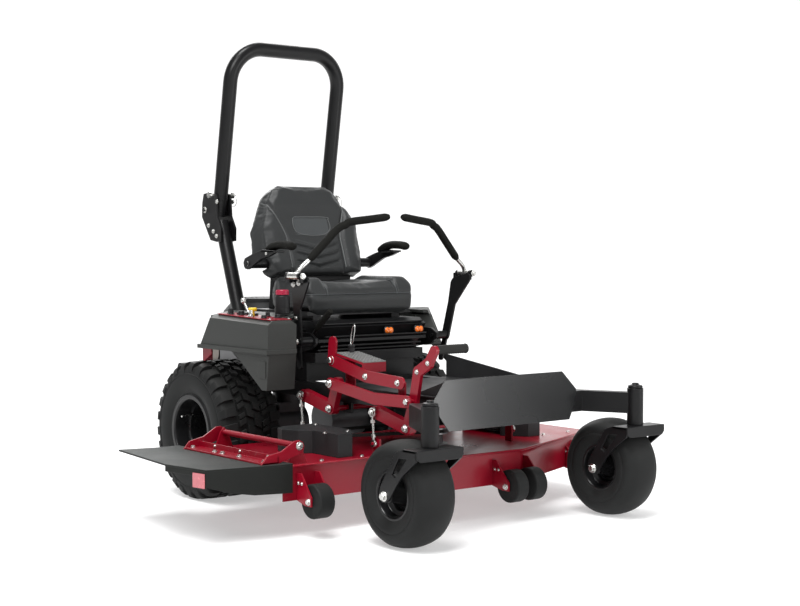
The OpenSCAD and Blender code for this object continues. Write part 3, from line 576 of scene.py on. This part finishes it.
def soft_copy(node, shrink):
    """The CAD node's shape, scaled about its middle so that each side draws in by shrink metres."""
    me = NODES[node].data.copy()
    bm = bmesh.new()
    bm.from_mesh(me)
    bmesh.ops.remove_doubles(bm, verts=bm.verts, dist=1e-5)
    lo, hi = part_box(node)
    mid = (lo + hi) / 2
    size = hi - lo
    for v in bm.verts:
        for i in range(3):
            v.co[i] = mid[i] + (v.co[i] - mid[i]) * (1 - 2 * shrink / size[i])
    bm.to_mesh(me)
    bm.free()
    return link(bpy.data.objects.new(node + "_pad", me))


def subdivide(ob):
    m = ob.modifiers.new("u", "SUBSURF")
    m.levels = 1
    return bake(ob)


def smoothstep(a, b, x):
    t = min(1, max(0, (x - a) / (b - a)))
    return t * t * (3 - 2 * t)


BACK_LEAN = math.radians(20.5)
BACK_FOOT_Y, BACK_FOOT_Z = -38, 914


def to_back(p):
    """Frame metres to the seat back's own across, up and depth (negative to the front), in millimetres."""
    q = TO_ROW.inverted() @ p
    y, z = q.y - BACK_FOOT_Y, q.z - BACK_FOOT_Z
    sn, cs = math.sin(BACK_LEAN), math.cos(BACK_LEAN)
    return q.x, y * sn + z * cs, y * cs - z * sn


def from_back(u, w, v):
    """Machine millimetres from the seat back's across, up and depth."""
    y = v * math.cos(BACK_LEAN) + w * math.sin(BACK_LEAN) + BACK_FOOT_Y
    z = -v * math.sin(BACK_LEAN) + w * math.cos(BACK_LEAN) + BACK_FOOT_Z
    return Vector((u, y, z))


def bolster_in(w):
    """Inner edge of the back's side bolsters at a height up the back."""
    return 196 - 62 * smoothstep(330, 120, w)


back = soft_copy("seat_back", 0.008)
puff(back, 0.007, 4.0, 0.012)
subdivide(back)
for v in back.data.vertices:
    u, w, d = to_back(v.co)
    if d > 8:
        continue
    front = smoothstep(6, -18, d)
    e = bolster_in(w)
    a = abs(u)
    lift = 0.0
    # bolsters stand proud and fall away outward; a groove runs along their inner edge
    lift += 13 * smoothstep(e, e + 26, a) * (1 - smoothstep(e + 50, e + 130, a))
    lift -= 7 * math.exp(-((a - e) / 6.5) ** 2)
    # recessed insert and the chevrons below it
    if a < e - 10:
        inset = smoothstep(96, 84, a) * smoothstep(142, 152, w) * smoothstep(232, 222, w)
        lift -= 3.5 * inset
        for k in range(3):
            crest = 118 - 36 * k - 26 * (1 - a / 110)
            lift += 5.5 * math.exp(-((w - crest) / 10) ** 2) * smoothstep(e - 8, e - 40, a)
            lift -= 5.0 * math.exp(-((w - crest + 16) / 5) ** 2) * smoothstep(e - 8, e - 40, a)
        lift += 4 * smoothstep(235, 290, w) * smoothstep(384, 340, w)
    v.co += (TO_ROW.to_3x3() @ (from_back(0, 0, -1) - from_back(0, 0, 0))) * lift * front
shade(back, 80)
place(back, "seat", "seat_vinyl", "seat_back")
back.data.materials.append(MATS["vinyl_light"])
for f in back.data.polygons:
    u, w, d = to_back(f.center)
    a = abs(u)
    if d < 0 and a < 88 and 146 < w < 228 and a + abs(w - 187) < 118:
        f.material_index = 1


def surface_point(ob_bvh, origin, direction):
    hit = ob_bvh.ray_cast(TO_ROW @ origin, (TO_ROW.to_3x3() @ direction).normalized())
    return (TO_ROW.inverted() @ hit[0]) if hit[0] is not None else None


def tree_of(ob):
    me = ob.data
    return BVHTree.FromPolygons([v.co for v in me.vertices], [list(p.vertices) for p in me.polygons])


def seam_on(tree, starts, direction, lift=0.6):
    """Where rays from the starts meet the surface, raised from it by lift millimetres."""
    pts = []
    for o in starts:
        h = surface_point(tree, o, direction)
        if h is not None:
            pts.append(h - direction.normalized() * lift)
    return pts


def stitches(bm, pts, length=7.0, gap=3.5, r=0.9):
    """Short thread runs along a seam."""
    carry = 0.0
    for a, b in zip(pts, pts[1:]):
        seg = (b - a).length
        if seg < 1e-3:
            continue
        t = carry
        while t + length < seg + length:
            p = a + (b - a) * min(1, t / seg)
            q = a + (b - a) * min(1, (t + length) / seg)
            if (q - p).length > length * 0.5:
                tube(bm, [p, (p + q) / 2, q], r, seg=6)
            t += length + gap
        carry = max(0, t - seg)


tree = tree_of(back)
facing = from_back(0, 0, 1) - from_back(0, 0, 0)
bm = bmesh.new()
sbm = bmesh.new()
for sgn in (-1, 1):
    starts = [from_back(sgn * (bolster_in(w) + 4), w, -120) for w in range(2, 352, 6)]
    pts = seam_on(tree, starts, facing, 1.2)
    if len(pts) > 3:
        tube(bm, pts, 2.6, seg=10)
    starts = [from_back(sgn * (bolster_in(w) + 15), w, -120) for w in range(2, 346, 6)]
    stitches(sbm, seam_on(tree, starts, facing, 0.4))
# outline of the insert
ring = [(-80, 226), (78, 226), (92, 212), (92, 172), (60, 150), (0, 142), (-60, 150), (-92, 172), (-92, 212),
        (-80, 226)]
outline = smooth_path([(a, b, 0) for a, b in ring], 6)
pts = seam_on(tree, [from_back(p.x, p.y, -120) for p in outline], facing, 0.6)
if len(pts) > 3:
    tube(bm, pts, 1.5, seg=8)
piece("back_piping", bm, "seat", "seat_vinyl", angle=60, look="piping")
piece("back_stitches", sbm, "seat", "seat_vinyl", angle=60, look="piping")

cushion = soft_copy("seat_cushion", 0.009)
puff(cushion, 0.007, 4.0, 0.014)
subdivide(cushion)
for v in cushion.data.vertices:
    q = TO_ROW.inverted() @ v.co
    top = smoothstep(835, 862, q.z)
    a = abs(q.x)
    side = smoothstep(168, 200, a) * (1 - smoothstep(236, 290, a))
    lift = 16 * side * smoothstep(-392, -330, q.y) * smoothstep(-30, -110, q.y)
    lift -= 6 * math.exp(-((a - 172) / 6) ** 2) * smoothstep(-372, -345, q.y)
    lift -= 8 * (1 - smoothstep(0, 160, a)) * smoothstep(-396, -290, q.y)
    lift -= 5 * math.exp(-((q.y + 300) / 6) ** 2) * (a < 176)
    v.co.z += lift * top * 0.001
    # seam line around the front and sides
    band = math.exp(-((q.z - 826) / 5) ** 2)
    if q.z < 850 and (a > 230 or q.y < -355):
        n = Vector((q.x, (q.y + 200) * 1.2, 0)).normalized()
        v.co -= Vector((n.x, n.y, 0)) * 0.0035 * band
shade(cushion, 80)
place(cushion, "seat", "seat_vinyl", "seat_cushion")
tree = tree_of(cushion)
bm = bmesh.new()
sbm = bmesh.new()
down = Vector((0, 0, -1))
for sgn in (-1, 1):
    pts = seam_on(tree, [Vector((sgn * 176, y, 960)) for y in range(-372, -40, 6)], down, 1.0)
    if len(pts) > 3:
        tube(bm, pts, 2.4, seg=10)
    pts = seam_on(tree, [Vector((sgn * 187, y, 960)) for y in range(-368, -44, 6)], down, 0.3)
    stitches(sbm, pts)
pts = seam_on(tree, [Vector((x, -300, 960)) for x in range(-170, 171, 8)], down, 0.6)
if len(pts) > 3:
    tube(bm, pts, 1.6, seg=8)
# welt around the front at the seam
ringpts = []
for k in range(0, 61):
    ang = math.pi * (1.0 + k / 60)
    d = Vector((math.cos(ang), math.sin(ang), 0))
    o = Vector((0, -170, 826)) + d * 600
    h = surface_point(tree, o, -d)
    if h is not None:
        ringpts.append(h + d * 0.8)
if len(ringpts) > 3:
    tube(bm, ringpts, 2.2, seg=8)
piece("cushion_piping", bm, "seat", "seat_vinyl", angle=60, look="vinyl_light")
piece("cushion_stitches", sbm, "seat", "seat_vinyl", angle=60, look="piping")


# ---------------------------------------------------------------- armrests
def armrest(s, side):
    body = "armrest_" + side + "_arm"
    bm = bmesh.new()
    path = [(-298, 1010), (-270, 1020), (-200, 1023), (-150, 1014), (-104, 998)]
    pts = smooth_path([(s * 289, y, z) for y, z in path], 8)
    n = len(pts)
    rs = []
    for i in range(n):
        t = i / (n - 1)
        tip = math.sin(math.pi * min(1, t * 5 + 0.12) / 2) ** 0.6
        rs.append(23 * tip * (1 - 0.3 * smoothstep(0.7, 1.0, t)) * (0.55 + 0.45 * smoothstep(1.0, 0.93, t)))
    tube(bm, pts, rs, seg=24, flat=0.74)
    pad = piece("armrest_pad_" + side, bm, body, "grip_foam", angle=60)
    m = pad.modifiers.new("u", "SUBSURF")
    m.levels = 1
    bake(pad)
    shade(pad, 80)
    bm = bmesh.new()
    arm = [(16, 934), (20, 950), (10, 968), (-40, 984), (-120, 1004), (-200, 1000), (-204, 990), (-170, 978),
           (-110, 966), (-30, 930), (-8, 922), (8, 925)]
    prism(bm, arm, 0, s * 306, s * 322)
    box(bm, (min(s * 276, s * 322), -216, 992), (max(s * 276, s * 322), -112, 1000))
    piece("armrest_bracket_" + side, bm, body, "frame_black", "armrest_" + side, round_by=2.0)
    bm = bmesh.new()
    bolt(bm, (s * 322, -9, 946), (s, 0, 0), 8)
    bolt(bm, (s * 322, -150, 988), (s, 0, 0), 5)
    piece("armrest_bolts_" + side, bm, body, "zinc", round_by=0.5, segments=1)


for s, side in ((-1, "right"), (1, "left")):
    armrest(s, side)


# ---------------------------------------------------------------- lap bars
# the left bar's line from its foot to its end; the foam grip starts at the third point
BAR = [(429, -505, 905), (408, -516, 935), (373, -519, 965), (252, -541, 1085), (200, -556, 1112),
       (33, -582, 1133)]
for s, side in ((-1, "right"), (1, "left")):
    body = "lap_bar_" + side
    pts = [Vector((s * x, y, z)) for x, y, z in BAR]
    path = smooth_path([pts[2], pts[2].lerp(pts[3], 0.5), pts[3], pts[3].lerp(pts[4], 0.6), pts[4],
                        pts[4].lerp(pts[5], 0.5), pts[5]], 10)
    n = len(path)
    # the foam's ends are rounded off
    ends = [min(1, min(i, n - 1 - i) / 2.5) for i in range(n)]
    rs = [15.6 * min(1, 0.62 + 0.38 * math.sin(t * math.pi / 2)) for t in ends]
    bm = bmesh.new()
    tube(bm, path, rs, seg=24)
    piece("grip_" + side, bm, body, "grip_foam", "lap_grip_" + side, angle=50)
    bm = bmesh.new()
    tube(bm, smooth_path(pts[:3], 8), 8.5, seg=16)
    lathe(bm, [(0, -28), (12, -28), (14, -26), (14, 38), (12, 40), (0, 40)], (s * 429, -509, 905),
          (0, 1, 0), 28)
    lathe(bm, [(0, -44), (6, -44), (6, 55), (0, 55)], (s * 429, -509, 905), (0, 1, 0), 18)
    piece("lap_rod_" + side, bm, body, "zinc", "lap_handle_" + side, round_by=0.8)
    bm = bmesh.new()
    bolt(bm, (s * 429, -560, 905), (0, -1, 0), 9)
    for y, z in ((-512, 878), (-478, 872)):
        bolt(bm, (s * 416, y, z), (s, 0, 0), 8)
    bolt(bm, (s * 382, -450, 650), (s, 0, 0), 9)
    bolt(bm, (s * 394, -464, 742), (s, 0, 0), 6)
    piece("lever_bolts_" + side, bm, "lap_lever_" + side + "_arm", "zinc", round_by=0.5, segments=1)
    refine("lap_lever_" + side, 1.4, "lap_lever_" + side + "_arm")


# ---------------------------------------------------------------- roll hoop
POST_X = 277
PLATE_X = 38.6  # the hinge plates' outer faces, from the post's middle
PIN_Y, PIN_Z = 262, 1233
HOOP_LEAN = math.radians(9.3)
for s, side in ((-1, "right"), (1, "left")):
    bm = bmesh.new()
    px = s * POST_X
    for y, z in ((232, 1205), (330, 1172), (262, 1080), (300, 1105), (236, 1060)):
        r = 10 if y == 330 else 7
        bolt(bm, (s * (POST_X + PLATE_X), y, z), (s, 0, 0), r)
        bolt(bm, (s * (POST_X - PLATE_X), y, z), (-s, 0, 0), r)
    for y in (-20, 70):
        bolt(bm, (px + s * 22, y, 493), (0, 0, 1), 8)
    piece("post_bolts_" + side, bm, "chassis", "zinc", round_by=0.6, segments=1)
    bm = bmesh.new()
    # locking pin with its head, and a wire ring through its end
    lathe(bm, [(0, -54), (8, -54), (8, 52), (13, 53), (13.5, 60), (11, 62), (0, 62)], (px, PIN_Y, PIN_Z),
          (1, 0, 0), 24)
    turn = [k * math.pi / 12 for k in range(25)]
    ring = [(px + 50, PIN_Y + 26 * math.cos(t) - 20, PIN_Z - 21 + 26 * math.sin(t)) for t in turn]
    tube(bm, ring, 1.5, seg=8, cap=False)
    piece("hoop_pin_" + side, bm, "roll_hoop", "zinc", angle=50)
NODES["rops_pins"].data.materials.clear()
NODES["rops_pins"].data.materials.append(MATS["zinc"])
refine("rops_posts", 1.5, "chassis")
bm = bmesh.new()
for s in (-1, 1):
    lean = Vector((0, -math.sin(HOOP_LEAN), math.cos(HOOP_LEAN)))
    foot = Vector((s * POST_X, PIN_Y, PIN_Z)) - lean * 86
    lathe(bm, [(29, 0), (31.5, 1), (31.5, 12), (29, 13)], foot, lean, 40, closed=True)
    lathe(bm, [(29, 70), (31.5, 71), (31.5, 82), (29, 83)], foot, lean, 40, closed=True)
piece("hoop_collars", bm, "roll_hoop", "frame_black", angle=40)

# ---------------------------------------------------------------- chassis skins
# node: rounding, bevel segments, body, and a look where it isn't the slot's own
SKINS = {
    "main_frame": (2.0, 2, "chassis"), "front_axle": (3.0, 2, "chassis"),
    "floor_pan": (1.0, 2, "chassis", "pan_grey"), "front_panel": (1.6, 3, "chassis"),
    "fender_right": (7.0, 3, "chassis"), "fender_left": (7.0, 3, "chassis"), "seat_pod": (3.5, 3, "chassis"),
    "engine_block": (2.0, 2, "chassis"), "engine_shroud": (3.0, 2, "chassis"),
    "air_cleaner": (2.5, 2, "chassis"), "muffler": (2.0, 2, "chassis"), "rear_bumper": (2.0, 2, "chassis"),
    "transaxles": (3.0, 2, "chassis"), "height_quadrant": (1.5, 2, "chassis"), "seat_pan": (1.5, 2, "seat"),
    "deck_shell": (2.0, 2, "deck"), "belt_covers": (7.0, 3, "deck"), "spindle_housings": (2.0, 2, "deck"),
    "lift_pedal": (2.0, 2, "pedal"), "lift_bellcrank": (2.0, 2, "bellcrank"),
    "lift_link": (1.4, 2, "lift_rod"), "roller_right": (7.0, 3, "gauge_roller_right"),
    "roller_centre": (7.0, 3, "gauge_roller_centre"), "roller_left": (7.0, 3, "gauge_roller_left"),
    "cutter_right": (1.2, 1, "spindle_right"),
    "cutter_centre": (1.2, 1, "spindle_centre"), "cutter_left": (1.2, 1, "spindle_left"),
}
for node_name, (width, segments, body, *look) in SKINS.items():
    refine(node_name, width, body, segments, *look)

# right fender's raised pad and rib, and the bracket below it
bm = bmesh.new()
prism(bm, [(-497, 520), (-497, 585), (-455, 585), (-440, 545), (-455, 520)], 0, -556, -558.5)
prism(bm, [(-516, 612), (-516, 606), (-280, 606), (-255, 612)], 0, -561, -556)
piece("fender_pad", bm, "chassis", "fender_plastic", round_by=1.0)
bm = bmesh.new()
prism(bm, [(-92, 590), (-92, 612), (-26, 612), (-26, 560), (-40, 560)], 0, -545, -541)
prism(bm, [(-545, 560), (-545, 612), (-500, 612), (-500, 560)], 1, -30, -26)
piece("fender_bracket", bm, "chassis", "deck_red", round_by=0.8)

# ---------------------------------------------------------------- console
CONSOLE_FRONT, CONSOLE_REAR = (-500, 742), (-130, 753.4)


def console_z(y):
    """Height of the sloping red plate's top."""
    rise = (CONSOLE_REAR[1] - CONSOLE_FRONT[1]) / (CONSOLE_REAR[0] - CONSOLE_FRONT[0])
    return CONSOLE_FRONT[1] + (y - CONSOLE_FRONT[0]) * rise


bm = bmesh.new()
plate = [(-500, 738.3), CONSOLE_FRONT, CONSOLE_REAR, (-130, 749.7)]
prism(bm, plate, 0, -540, -440)
piece("console_cover", bm, "chassis", "deck_red", "console_plate", round_by=1.2)
# knobs: place, radius and height
bm = bmesh.new()
for x, y, r, h in ((-505, -250, 13, 14), (-520, -200, 10, 22), (-500, -160, 9, 18), (-455, -360, 9, 16),
                   (-455, -430, 12, 12), (-520, -430, 10, 10)):
    knob = [(0, 0), (r * 1.3, 0), (r * 1.3, 3), (r, 4), (r * 0.94, h), (r * 0.8, h + 2), (0, h + 2)]
    lathe(bm, knob, (x, y, console_z(y)), (0, 0, 1), 24)
box(bm, (-482, -300, console_z(-300)), (-458, -180, console_z(-180) + 5))
piece("console_knobs", bm, "chassis", "cover_plastic", round_by=0.7, look="knob_black")
bm = bmesh.new()
lathe(bm, [(0, 0), (11, 0), (11, 5), (8, 7), (8, 10), (0, 10)], (-520, -340, console_z(-340)),
      (0, 0, 1), 24)
box(bm, (-522, -348, console_z(-340) + 9), (-518, -332, console_z(-340) + 26))
for x, y in ((-533, -490), (-447, -490), (-533, -140), (-447, -140)):
    bolt(bm, (x, y, console_z(y)), (0, 0, 1), 4)
piece("console_key", bm, "chassis", "zinc", round_by=0.4, segments=1)
bm = bmesh.new()
rod = smooth_path([(-470, -250, 756), (-470, -240, 768), (-470, -223, 790), (-470, -214, 803)], 6)
tube(bm, rod, 4, seg=12)
lathe(bm, [(0, -8), (4.4, -8), (5, -7.4), (5, 7.4), (4.4, 8), (0, 8)], (-470, -250, 756), (1, 0, 0), 24)
piece("throttle_rod", bm, "throttle", "zinc", "throttle_lever", angle=50)
bm = bmesh.new()
lathe(bm, [(0, -12), (6, -11), (10, -6), (11, 0), (10, 7), (6, 11), (0, 12)], (-470, -213, 803),
      (0, 0.35, 1), 24)
piece("throttle_ball", bm, "throttle", "zinc", angle=60)
bm = bmesh.new()
lathe(bm, [(0, 0), (8, 0), (8, 20), (15, 22), (17, 26), (17, 31), (14, 34), (0, 34)], (-505, -330, 747),
      (0, 0, 1), 28)
piece("pto_button", bm, "blade_switch", "switch_yellow", "pto_knob", round_by=0.5)
# breather canister with its red cap
CAN = (-370, -335, 752.3)
bm = bmesh.new()
can = [(0, 0), (28, 0), (30, 3), (30, 24), (29, 26), (30, 28), (30, 66), (27, 72), (22, 74), (22, 86),
       (0, 86)]
lathe(bm, can, CAN, (0, 0, 1), 44)
piece("canister", bm, "chassis", "cover_plastic", "oil_reservoir", round_by=0.8, look="knob_black")
bm = bmesh.new()
lathe(bm, [(22.4, 76), (25, 76), (25, 92), (23, 95), (0, 96), (0, 90), (22.4, 88)], CAN, (0, 0, 1), 36)
for k in range(18):
    a = k * math.pi / 9
    c = Vector((CAN[0] + 25 * math.cos(a), CAN[1] + 25 * math.sin(a), 0))
    tube(bm, [c + Vector((0, 0, 829)), c + Vector((0, 0, 843))], 1.2, seg=6)
piece("canister_cap", bm, "chassis", "cover_plastic", round_by=0.5, look="cap_red")

# ---------------------------------------------------------------- pod front
bm = bmesh.new()
for z0, z1, y in ((604, 612, -398), (620, 628, -416), (660, 666, -452), (708, 714, -430)):
    box(bm, (-250, y - 6, z0), (262, y + 4, z1))
piece("pod_bars", bm, "chassis", "frame_black", round_by=1.5)
LAMPS = [(x + dx, -441, 678) for x in (75, 232) for dx in (-9, 9)]
bm = bmesh.new()
for at in LAMPS:
    lathe(bm, [(0, 0), (16, 0), (17, 3), (15, 6), (13, 6), (13, 2), (0, 2)], at, (0, -1, 0), 28)
piece("lamp_bezels", bm, "chassis", "frame_black", angle=40)
bm = bmesh.new()
for at in LAMPS:
    lathe(bm, [(0, 0), (13, 0), (12.6, 5), (10, 8.5), (5, 10), (0, 10.4)], at, (0, -1, 0), 28)
piece("lamp_lenses", bm, "chassis", "lamp_amber", "marker_lamps", angle=60)
# parking brake
bm = bmesh.new()
tube(bm, [(-286, -400, 650), (-286, -455, 702)], 6.5)
lathe(bm, [(0, 272.4), (12, 272.4), (13, 274), (13, 294), (12, 296), (0, 296)], (0, -400, 650),
      (-1, 0, 0), 28)
piece("brake_rod", bm, "brake", "grip_foam", "brake_lever", round_by=0.6, look="frame_black")
bm = bmesh.new()
path = [Vector((-286, -448, 696)).lerp(Vector((-286, -541, 770)), t / 12) for t in range(13)]
tube(bm, path, [10.5] + [12.6 if k % 2 else 11.8 for k in range(1, 12)] + [9.5], seg=20)
piece("brake_grip", bm, "brake", "grip_foam", angle=60)

# ---------------------------------------------------------------- deck
bm = bmesh.new()
for x in (-700, -560, -380, 560, 700):
    bolt(bm, (x, -860 if x < 500 else -840, 254), (0, 0, 1), 7)
for x, y in ((-495, -790), (-400, -800), (-372, -560), (450, -790), (430, -560), (545, -790)):
    bolt(bm, (x, y, 340), (0, 0, 1), 6)
# roller brackets: ends of the axle in x, and its y
for x0, x1, y in ((-676, -612, -956), (82, 232, -1142), (630, 694, -966)):
    bolt(bm, (x0 - 10, y, 131), (-1, 0, 0), 9)
    bolt(bm, (x1 + 10, y, 131), (1, 0, 0), 9)
    for behind in (60, 40):
        bolt(bm, (x0 - 10, y + behind, 190), (-1, 0, 0), 5)
piece("deck_bolts", bm, "deck", "zinc", round_by=0.5, segments=1)
bm = bmesh.new()
# rolled lip around the top plate
lip = [(-756, -328), (-756, -889), (-333, -889), (-218, -1070), (216, -1080), (805, -840), (805, -328)]
tube(bm, [(x, y, 250) for x, y in lip], 4.5, seg=10)
piece("deck_lip", bm, "deck", "deck_red", angle=50)

# chute: rubber plate, skirt, reflector, red hinge bracket and bolts
CHUTE_X, CHUTE_Z = -670, 318
bm = bmesh.new()
prism(bm, [(-715, -352), (-715, -905), (-768, -905), (-1035, -853), (-1072, -642), (-1023, -214),
           (-880, -250), (-786, -250), (-786, -352)], 2, 257, 263.5)
# the skirt's lower edge rises towards its outer corner
line = [(-715, -905, 160), (-768, -905, 162), (-860, -887, 164), (-950, -869.5, 178), (-1035, -853, 204)]
rows = [[bm.verts.new((x, y + dy, z)) for dy, z in ((0, low), (0, 258), (6, 258), (6, low))]
        for x, y, low in line]
for a, b in zip(rows, rows[1:]):
    for k in range(4):
        bm.faces.new([a[k], a[(k + 1) % 4], b[(k + 1) % 4], b[k]])
bm.faces.new(rows[0])
bm.faces.new(list(reversed(rows[-1])))
prism(bm, [(-1035, -853), (-1072, -642), (-1067, -641), (-1030, -848)], 2, 238, 258)
prism(bm, [(-1035, -853), (-1046, -786), (-1041, -785), (-1030, -848)], 2, 196, 240)
piece("chute_plate", bm, "discharge_chute", "chute_rubber", "chute", round_by=1.6)
bm = bmesh.new()
# reflector on the outboard face: a corner, the way it runs and the way it faces
corner = Vector((-1036.5, -849, 200))
along = Vector((-0.173, 0.985, 0))
outward = Vector((-0.985, -0.173, 0))
corners = [corner + along * a + Vector((0, 0, b)) for a, b in ((0, 0), (61, 0), (61, 50), (0, 50))]
inner = [bm.verts.new(p) for p in corners]
outer = [bm.verts.new(v.co + outward * 3) for v in inner]
bm.faces.new(inner)
bm.faces.new(outer)
for i in range(4):
    bm.faces.new([inner[i], inner[(i + 1) % 4], outer[(i + 1) % 4], outer[i]])
piece("chute_reflector", bm, "discharge_chute", "lamp_amber", round_by=0.8, look="reflector")
bm = bmesh.new()
prism(bm, [(-826, 263.5), (-826, 270), (-763, 270), (-763, 290), (-757, 290), (-757, 263.5)],
      1, -880, -352)
ear = [(-830, 263.6), (-756, 263.6), (-700, 280), (-662, 290), (-652, 300), (-649, 316), (-654, 330),
       (-668, 338), (-690, 336), (-745, 304), (-805, 292)]
for y in (-880, -360):
    prism(bm, ear, 1, y, y + 8)
lathe(bm, [(0, -858), (10, -858), (11, -856), (11, -390), (10, -388), (0, -388)],
      (CHUTE_X, 0, CHUTE_Z), (0, 1, 0), 24)
piece("chute_hinge", bm, "discharge_chute", "deck_red", round_by=1.2)
bm = bmesh.new()
for y in (-372, -525, -578, -690, -850):
    bolt(bm, (-798, y, 270), (0, 0, 1), 8)
for y, side in ((-881, -1), (-351, 1)):
    bolt(bm, (CHUTE_X, y, CHUTE_Z), (0, side, 0), 11)
for y in (-820, -640, -470):
    bolt(bm, (-763, y, 281), (-1, 0, 0), 5)
piece("chute_bolts", bm, "discharge_chute", "zinc", round_by=0.5, segments=1)

# deck hangers: threaded rods with clevis eyes and lock nuts
def hanger(bm, top, foot, s):
    x = s * 345
    t = Vector((x, *top))
    f = Vector((x, *foot))
    d = (t - f).normalized()
    lathe(bm, [(12.4, -4), (18, -4), (18, 4), (12.4, 4)], t, (1, 0, 0), 32, closed=True)
    lathe(bm, [(6.4, -4), (14, -4), (14, 4), (6.4, 4)], f, (1, 0, 0), 28, closed=True)
    a = f + d * 12
    b = t - d * 16
    n = max(6, int((b - a).length / 3))
    thread = [4.6 if k % 2 else 4.0 for k in range(n + 1)]
    tube(bm, [a + (b - a) * (k / n) for k in range(n + 1)], thread, seg=12)
    for k in (0.18, 0.8):
        c = a + (b - a) * k
        lathe(bm, [(0, -6), (9, -6), (9, 6), (0, 6)], c, d, 6)


for name, body, top, foot in (("hangers_front", "front_hangers", (-879, 413), (-885, 300)),
                              ("hangers_rear", "rear_hangers", (-423, 439), (-440, 300))):
    bm = bmesh.new()
    for s in (-1, 1):
        hanger(bm, top, foot, s)
    piece(name + "_rods", bm, body, "zinc", name, round_by=0.5, segments=1)

# linkage hardware
bm = bmesh.new()
bolt(bm, (-361, -1098, 470), (-1, 0, 0), 12)
lathe(bm, [(0, 0), (14, 0), (14, 5), (0, 5)], (-335, -1060, 370), (-1, 0, 0), 28)
bolt(bm, (-340, -1060, 370), (-1, 0, 0), 11)
bolt(bm, (-352, -879, 413), (-1, 0, 0), 9)
for y, z in ((-1121, 576), (-1180, 610)):
    bolt(bm, (-335, y, z), (-1, 0, 0), 7)
piece("pedal_bolts", bm, "pedal", "zinc", round_by=0.6, segments=1)
bm = bmesh.new()
bolt(bm, (-366, -638, 502), (-1, 0, 0), 12)
bolt(bm, (-340, -600, 402), (-1, 0, 0), 11)
bolt(bm, (-352, -423, 439), (-1, 0, 0), 9)
piece("bellcrank_bolts", bm, "bellcrank", "zinc", round_by=0.6, segments=1)
# ribbed rubber sleeve on the pedal's peg
bm = bmesh.new()
n = 26
ribs = [15.2 if k % 2 else 17 for k in range(n + 1)]
tube(bm, [(-190 - 130 * k / n, -1209, 658) for k in range(n + 1)], ribs, seg=24)
lathe(bm, [(0, 0), (15, 0), (17.5, 2), (17.5, 6), (15, 8), (0, 8)], (-190, -1209, 658), (1, 0, 0), 28)
piece("foot_peg", bm, "pedal", "deck_red", angle=50, look="foot_rubber")
# bolts on the upper arm, and a plunger with a wire loop behind the tread
bm = bmesh.new()
for y, z, r in ((-614, 587, 13), (-826, 540, 9), (-1015, 530, 9)):
    bolt(bm, (-338, y, z), (-1, 0, 0), r)
loop = [(-262 + 6 * math.sin(t), -640 - 9 * (1 - math.cos(t)) + 17 * math.sin(t), 682 - 40 * math.cos(t))
        for t in [k * math.pi / 14 for k in range(29)]]
tube(bm, loop, 1.9, seg=8, cap=False)
piece("height_pin", bm, "chassis", "zinc", round_by=0.4, segments=1)
bm = bmesh.new()
lathe(bm, [(0, 0), (16, 0), (16, 4), (12, 6), (12, 26), (14, 28), (14, 34), (9, 38), (0, 38)],
      (-262, -640, 608), (0, 0, 1), 28)
piece("plunger", bm, "chassis", "frame_black", round_by=0.6, look="knob_black")
# perforated tread
bm = bmesh.new()
for i in range(7):
    x = -327 + i * 16.3
    box(bm, (x - 2.4, -805, 588), (x + 2.4, -641, 591))
for j in range(11):
    y = -804 + j * 16.2
    box(bm, (-330.6, y - 2.4, 587.6), (-225.4, y + 2.4, 592))
for v in bm.verts:
    v.co.z += (v.co.y + 806) * 26 / 166
piece("tread_plate", bm, "chassis", "deck_red", round_by=0.6, segments=1, look="tread_grey")

# ---------------------------------------------------------------- floor and light
me = bpy.data.meshes.new("floor")
bm = bmesh.new()
# flat, then a quarter turn up into a wall
turn, bend_y = 2.5, 4.5
quarter = [k * math.pi / 24 for k in range(1, 13)]
prof = [(-9.0, 0.0), (bend_y, 0.0)]
prof += [(bend_y + turn * math.sin(t), turn - turn * math.cos(t)) for t in quarter]
prof.append((bend_y + turn, 9.0))
lines = [[bm.verts.new((x, y, z)) for y, z in prof] for x in (-12, 12)]
for i in range(len(prof) - 1):
    bm.faces.new([lines[0][i], lines[0][i + 1], lines[1][i + 1], lines[1][i]])
bm.to_mesh(me)
bm.free()
floor = link(bpy.data.objects.new("floor", me))
floor.rotation_euler = (0, 0, math.radians(-38))
me.shade_smooth()
floor_look = surface("studio_floor", (0.6, 0.6, 0.6), 0.9, spec=0.0, tone=(0.6, 0.01), grain=(40, 0.0))
glow = next(n for n in floor_look.node_tree.nodes if n.type == "BSDF_PRINCIPLED")
glow.inputs["Emission Color"].default_value = (1, 1, 1, 1)
glow.inputs["Emission Strength"].default_value = 0.42
me.materials.append(floor_look)


def area(name, loc, aim, size, power):
    lamp = link(bpy.data.objects.new(name, bpy.data.lights.new(name, "AREA")))
    lamp.data.energy = power
    lamp.data.size = size
    lamp.location = loc
    lamp.rotation_euler = (Vector(aim) - Vector(loc)).to_track_quat("-Z", "Y").to_euler()


area("key", (-3.4, -2.2, 4.4), (0, 0, 0.6), 2.4, 170)
area("fill", (2.8, -4.6, 2.8), (0, 0, 0.6), 3.0, 30)
area("front", (-1.6, -5.4, 2.0), (0, -0.2, 0.6), 2.2, 30)
area("back", (1.5, 3.8, 3.6), (0, 0, 0.8), 3.0, 110)
sun = link(bpy.data.objects.new("sun", bpy.data.lights.new("sun", "SUN")))
sun.data.energy = 2.3
sun.data.angle = math.radians(24)
sun.rotation_euler = Vector((0.5, 0.3, -1.9)).to_track_quat("-Z", "Y").to_euler()
area("panel_strip", row(1850, -4450, 1150), row(-200, -1250, 460), 1.1, 26)
world = bpy.data.worlds.new("studio")
bpy.context.scene.world = world
world.use_nodes = True
sky = world.node_tree.nodes["Background"]
sky.inputs["Color"].default_value = (1, 1, 1, 1)
sky.inputs["Strength"].default_value = 0.34
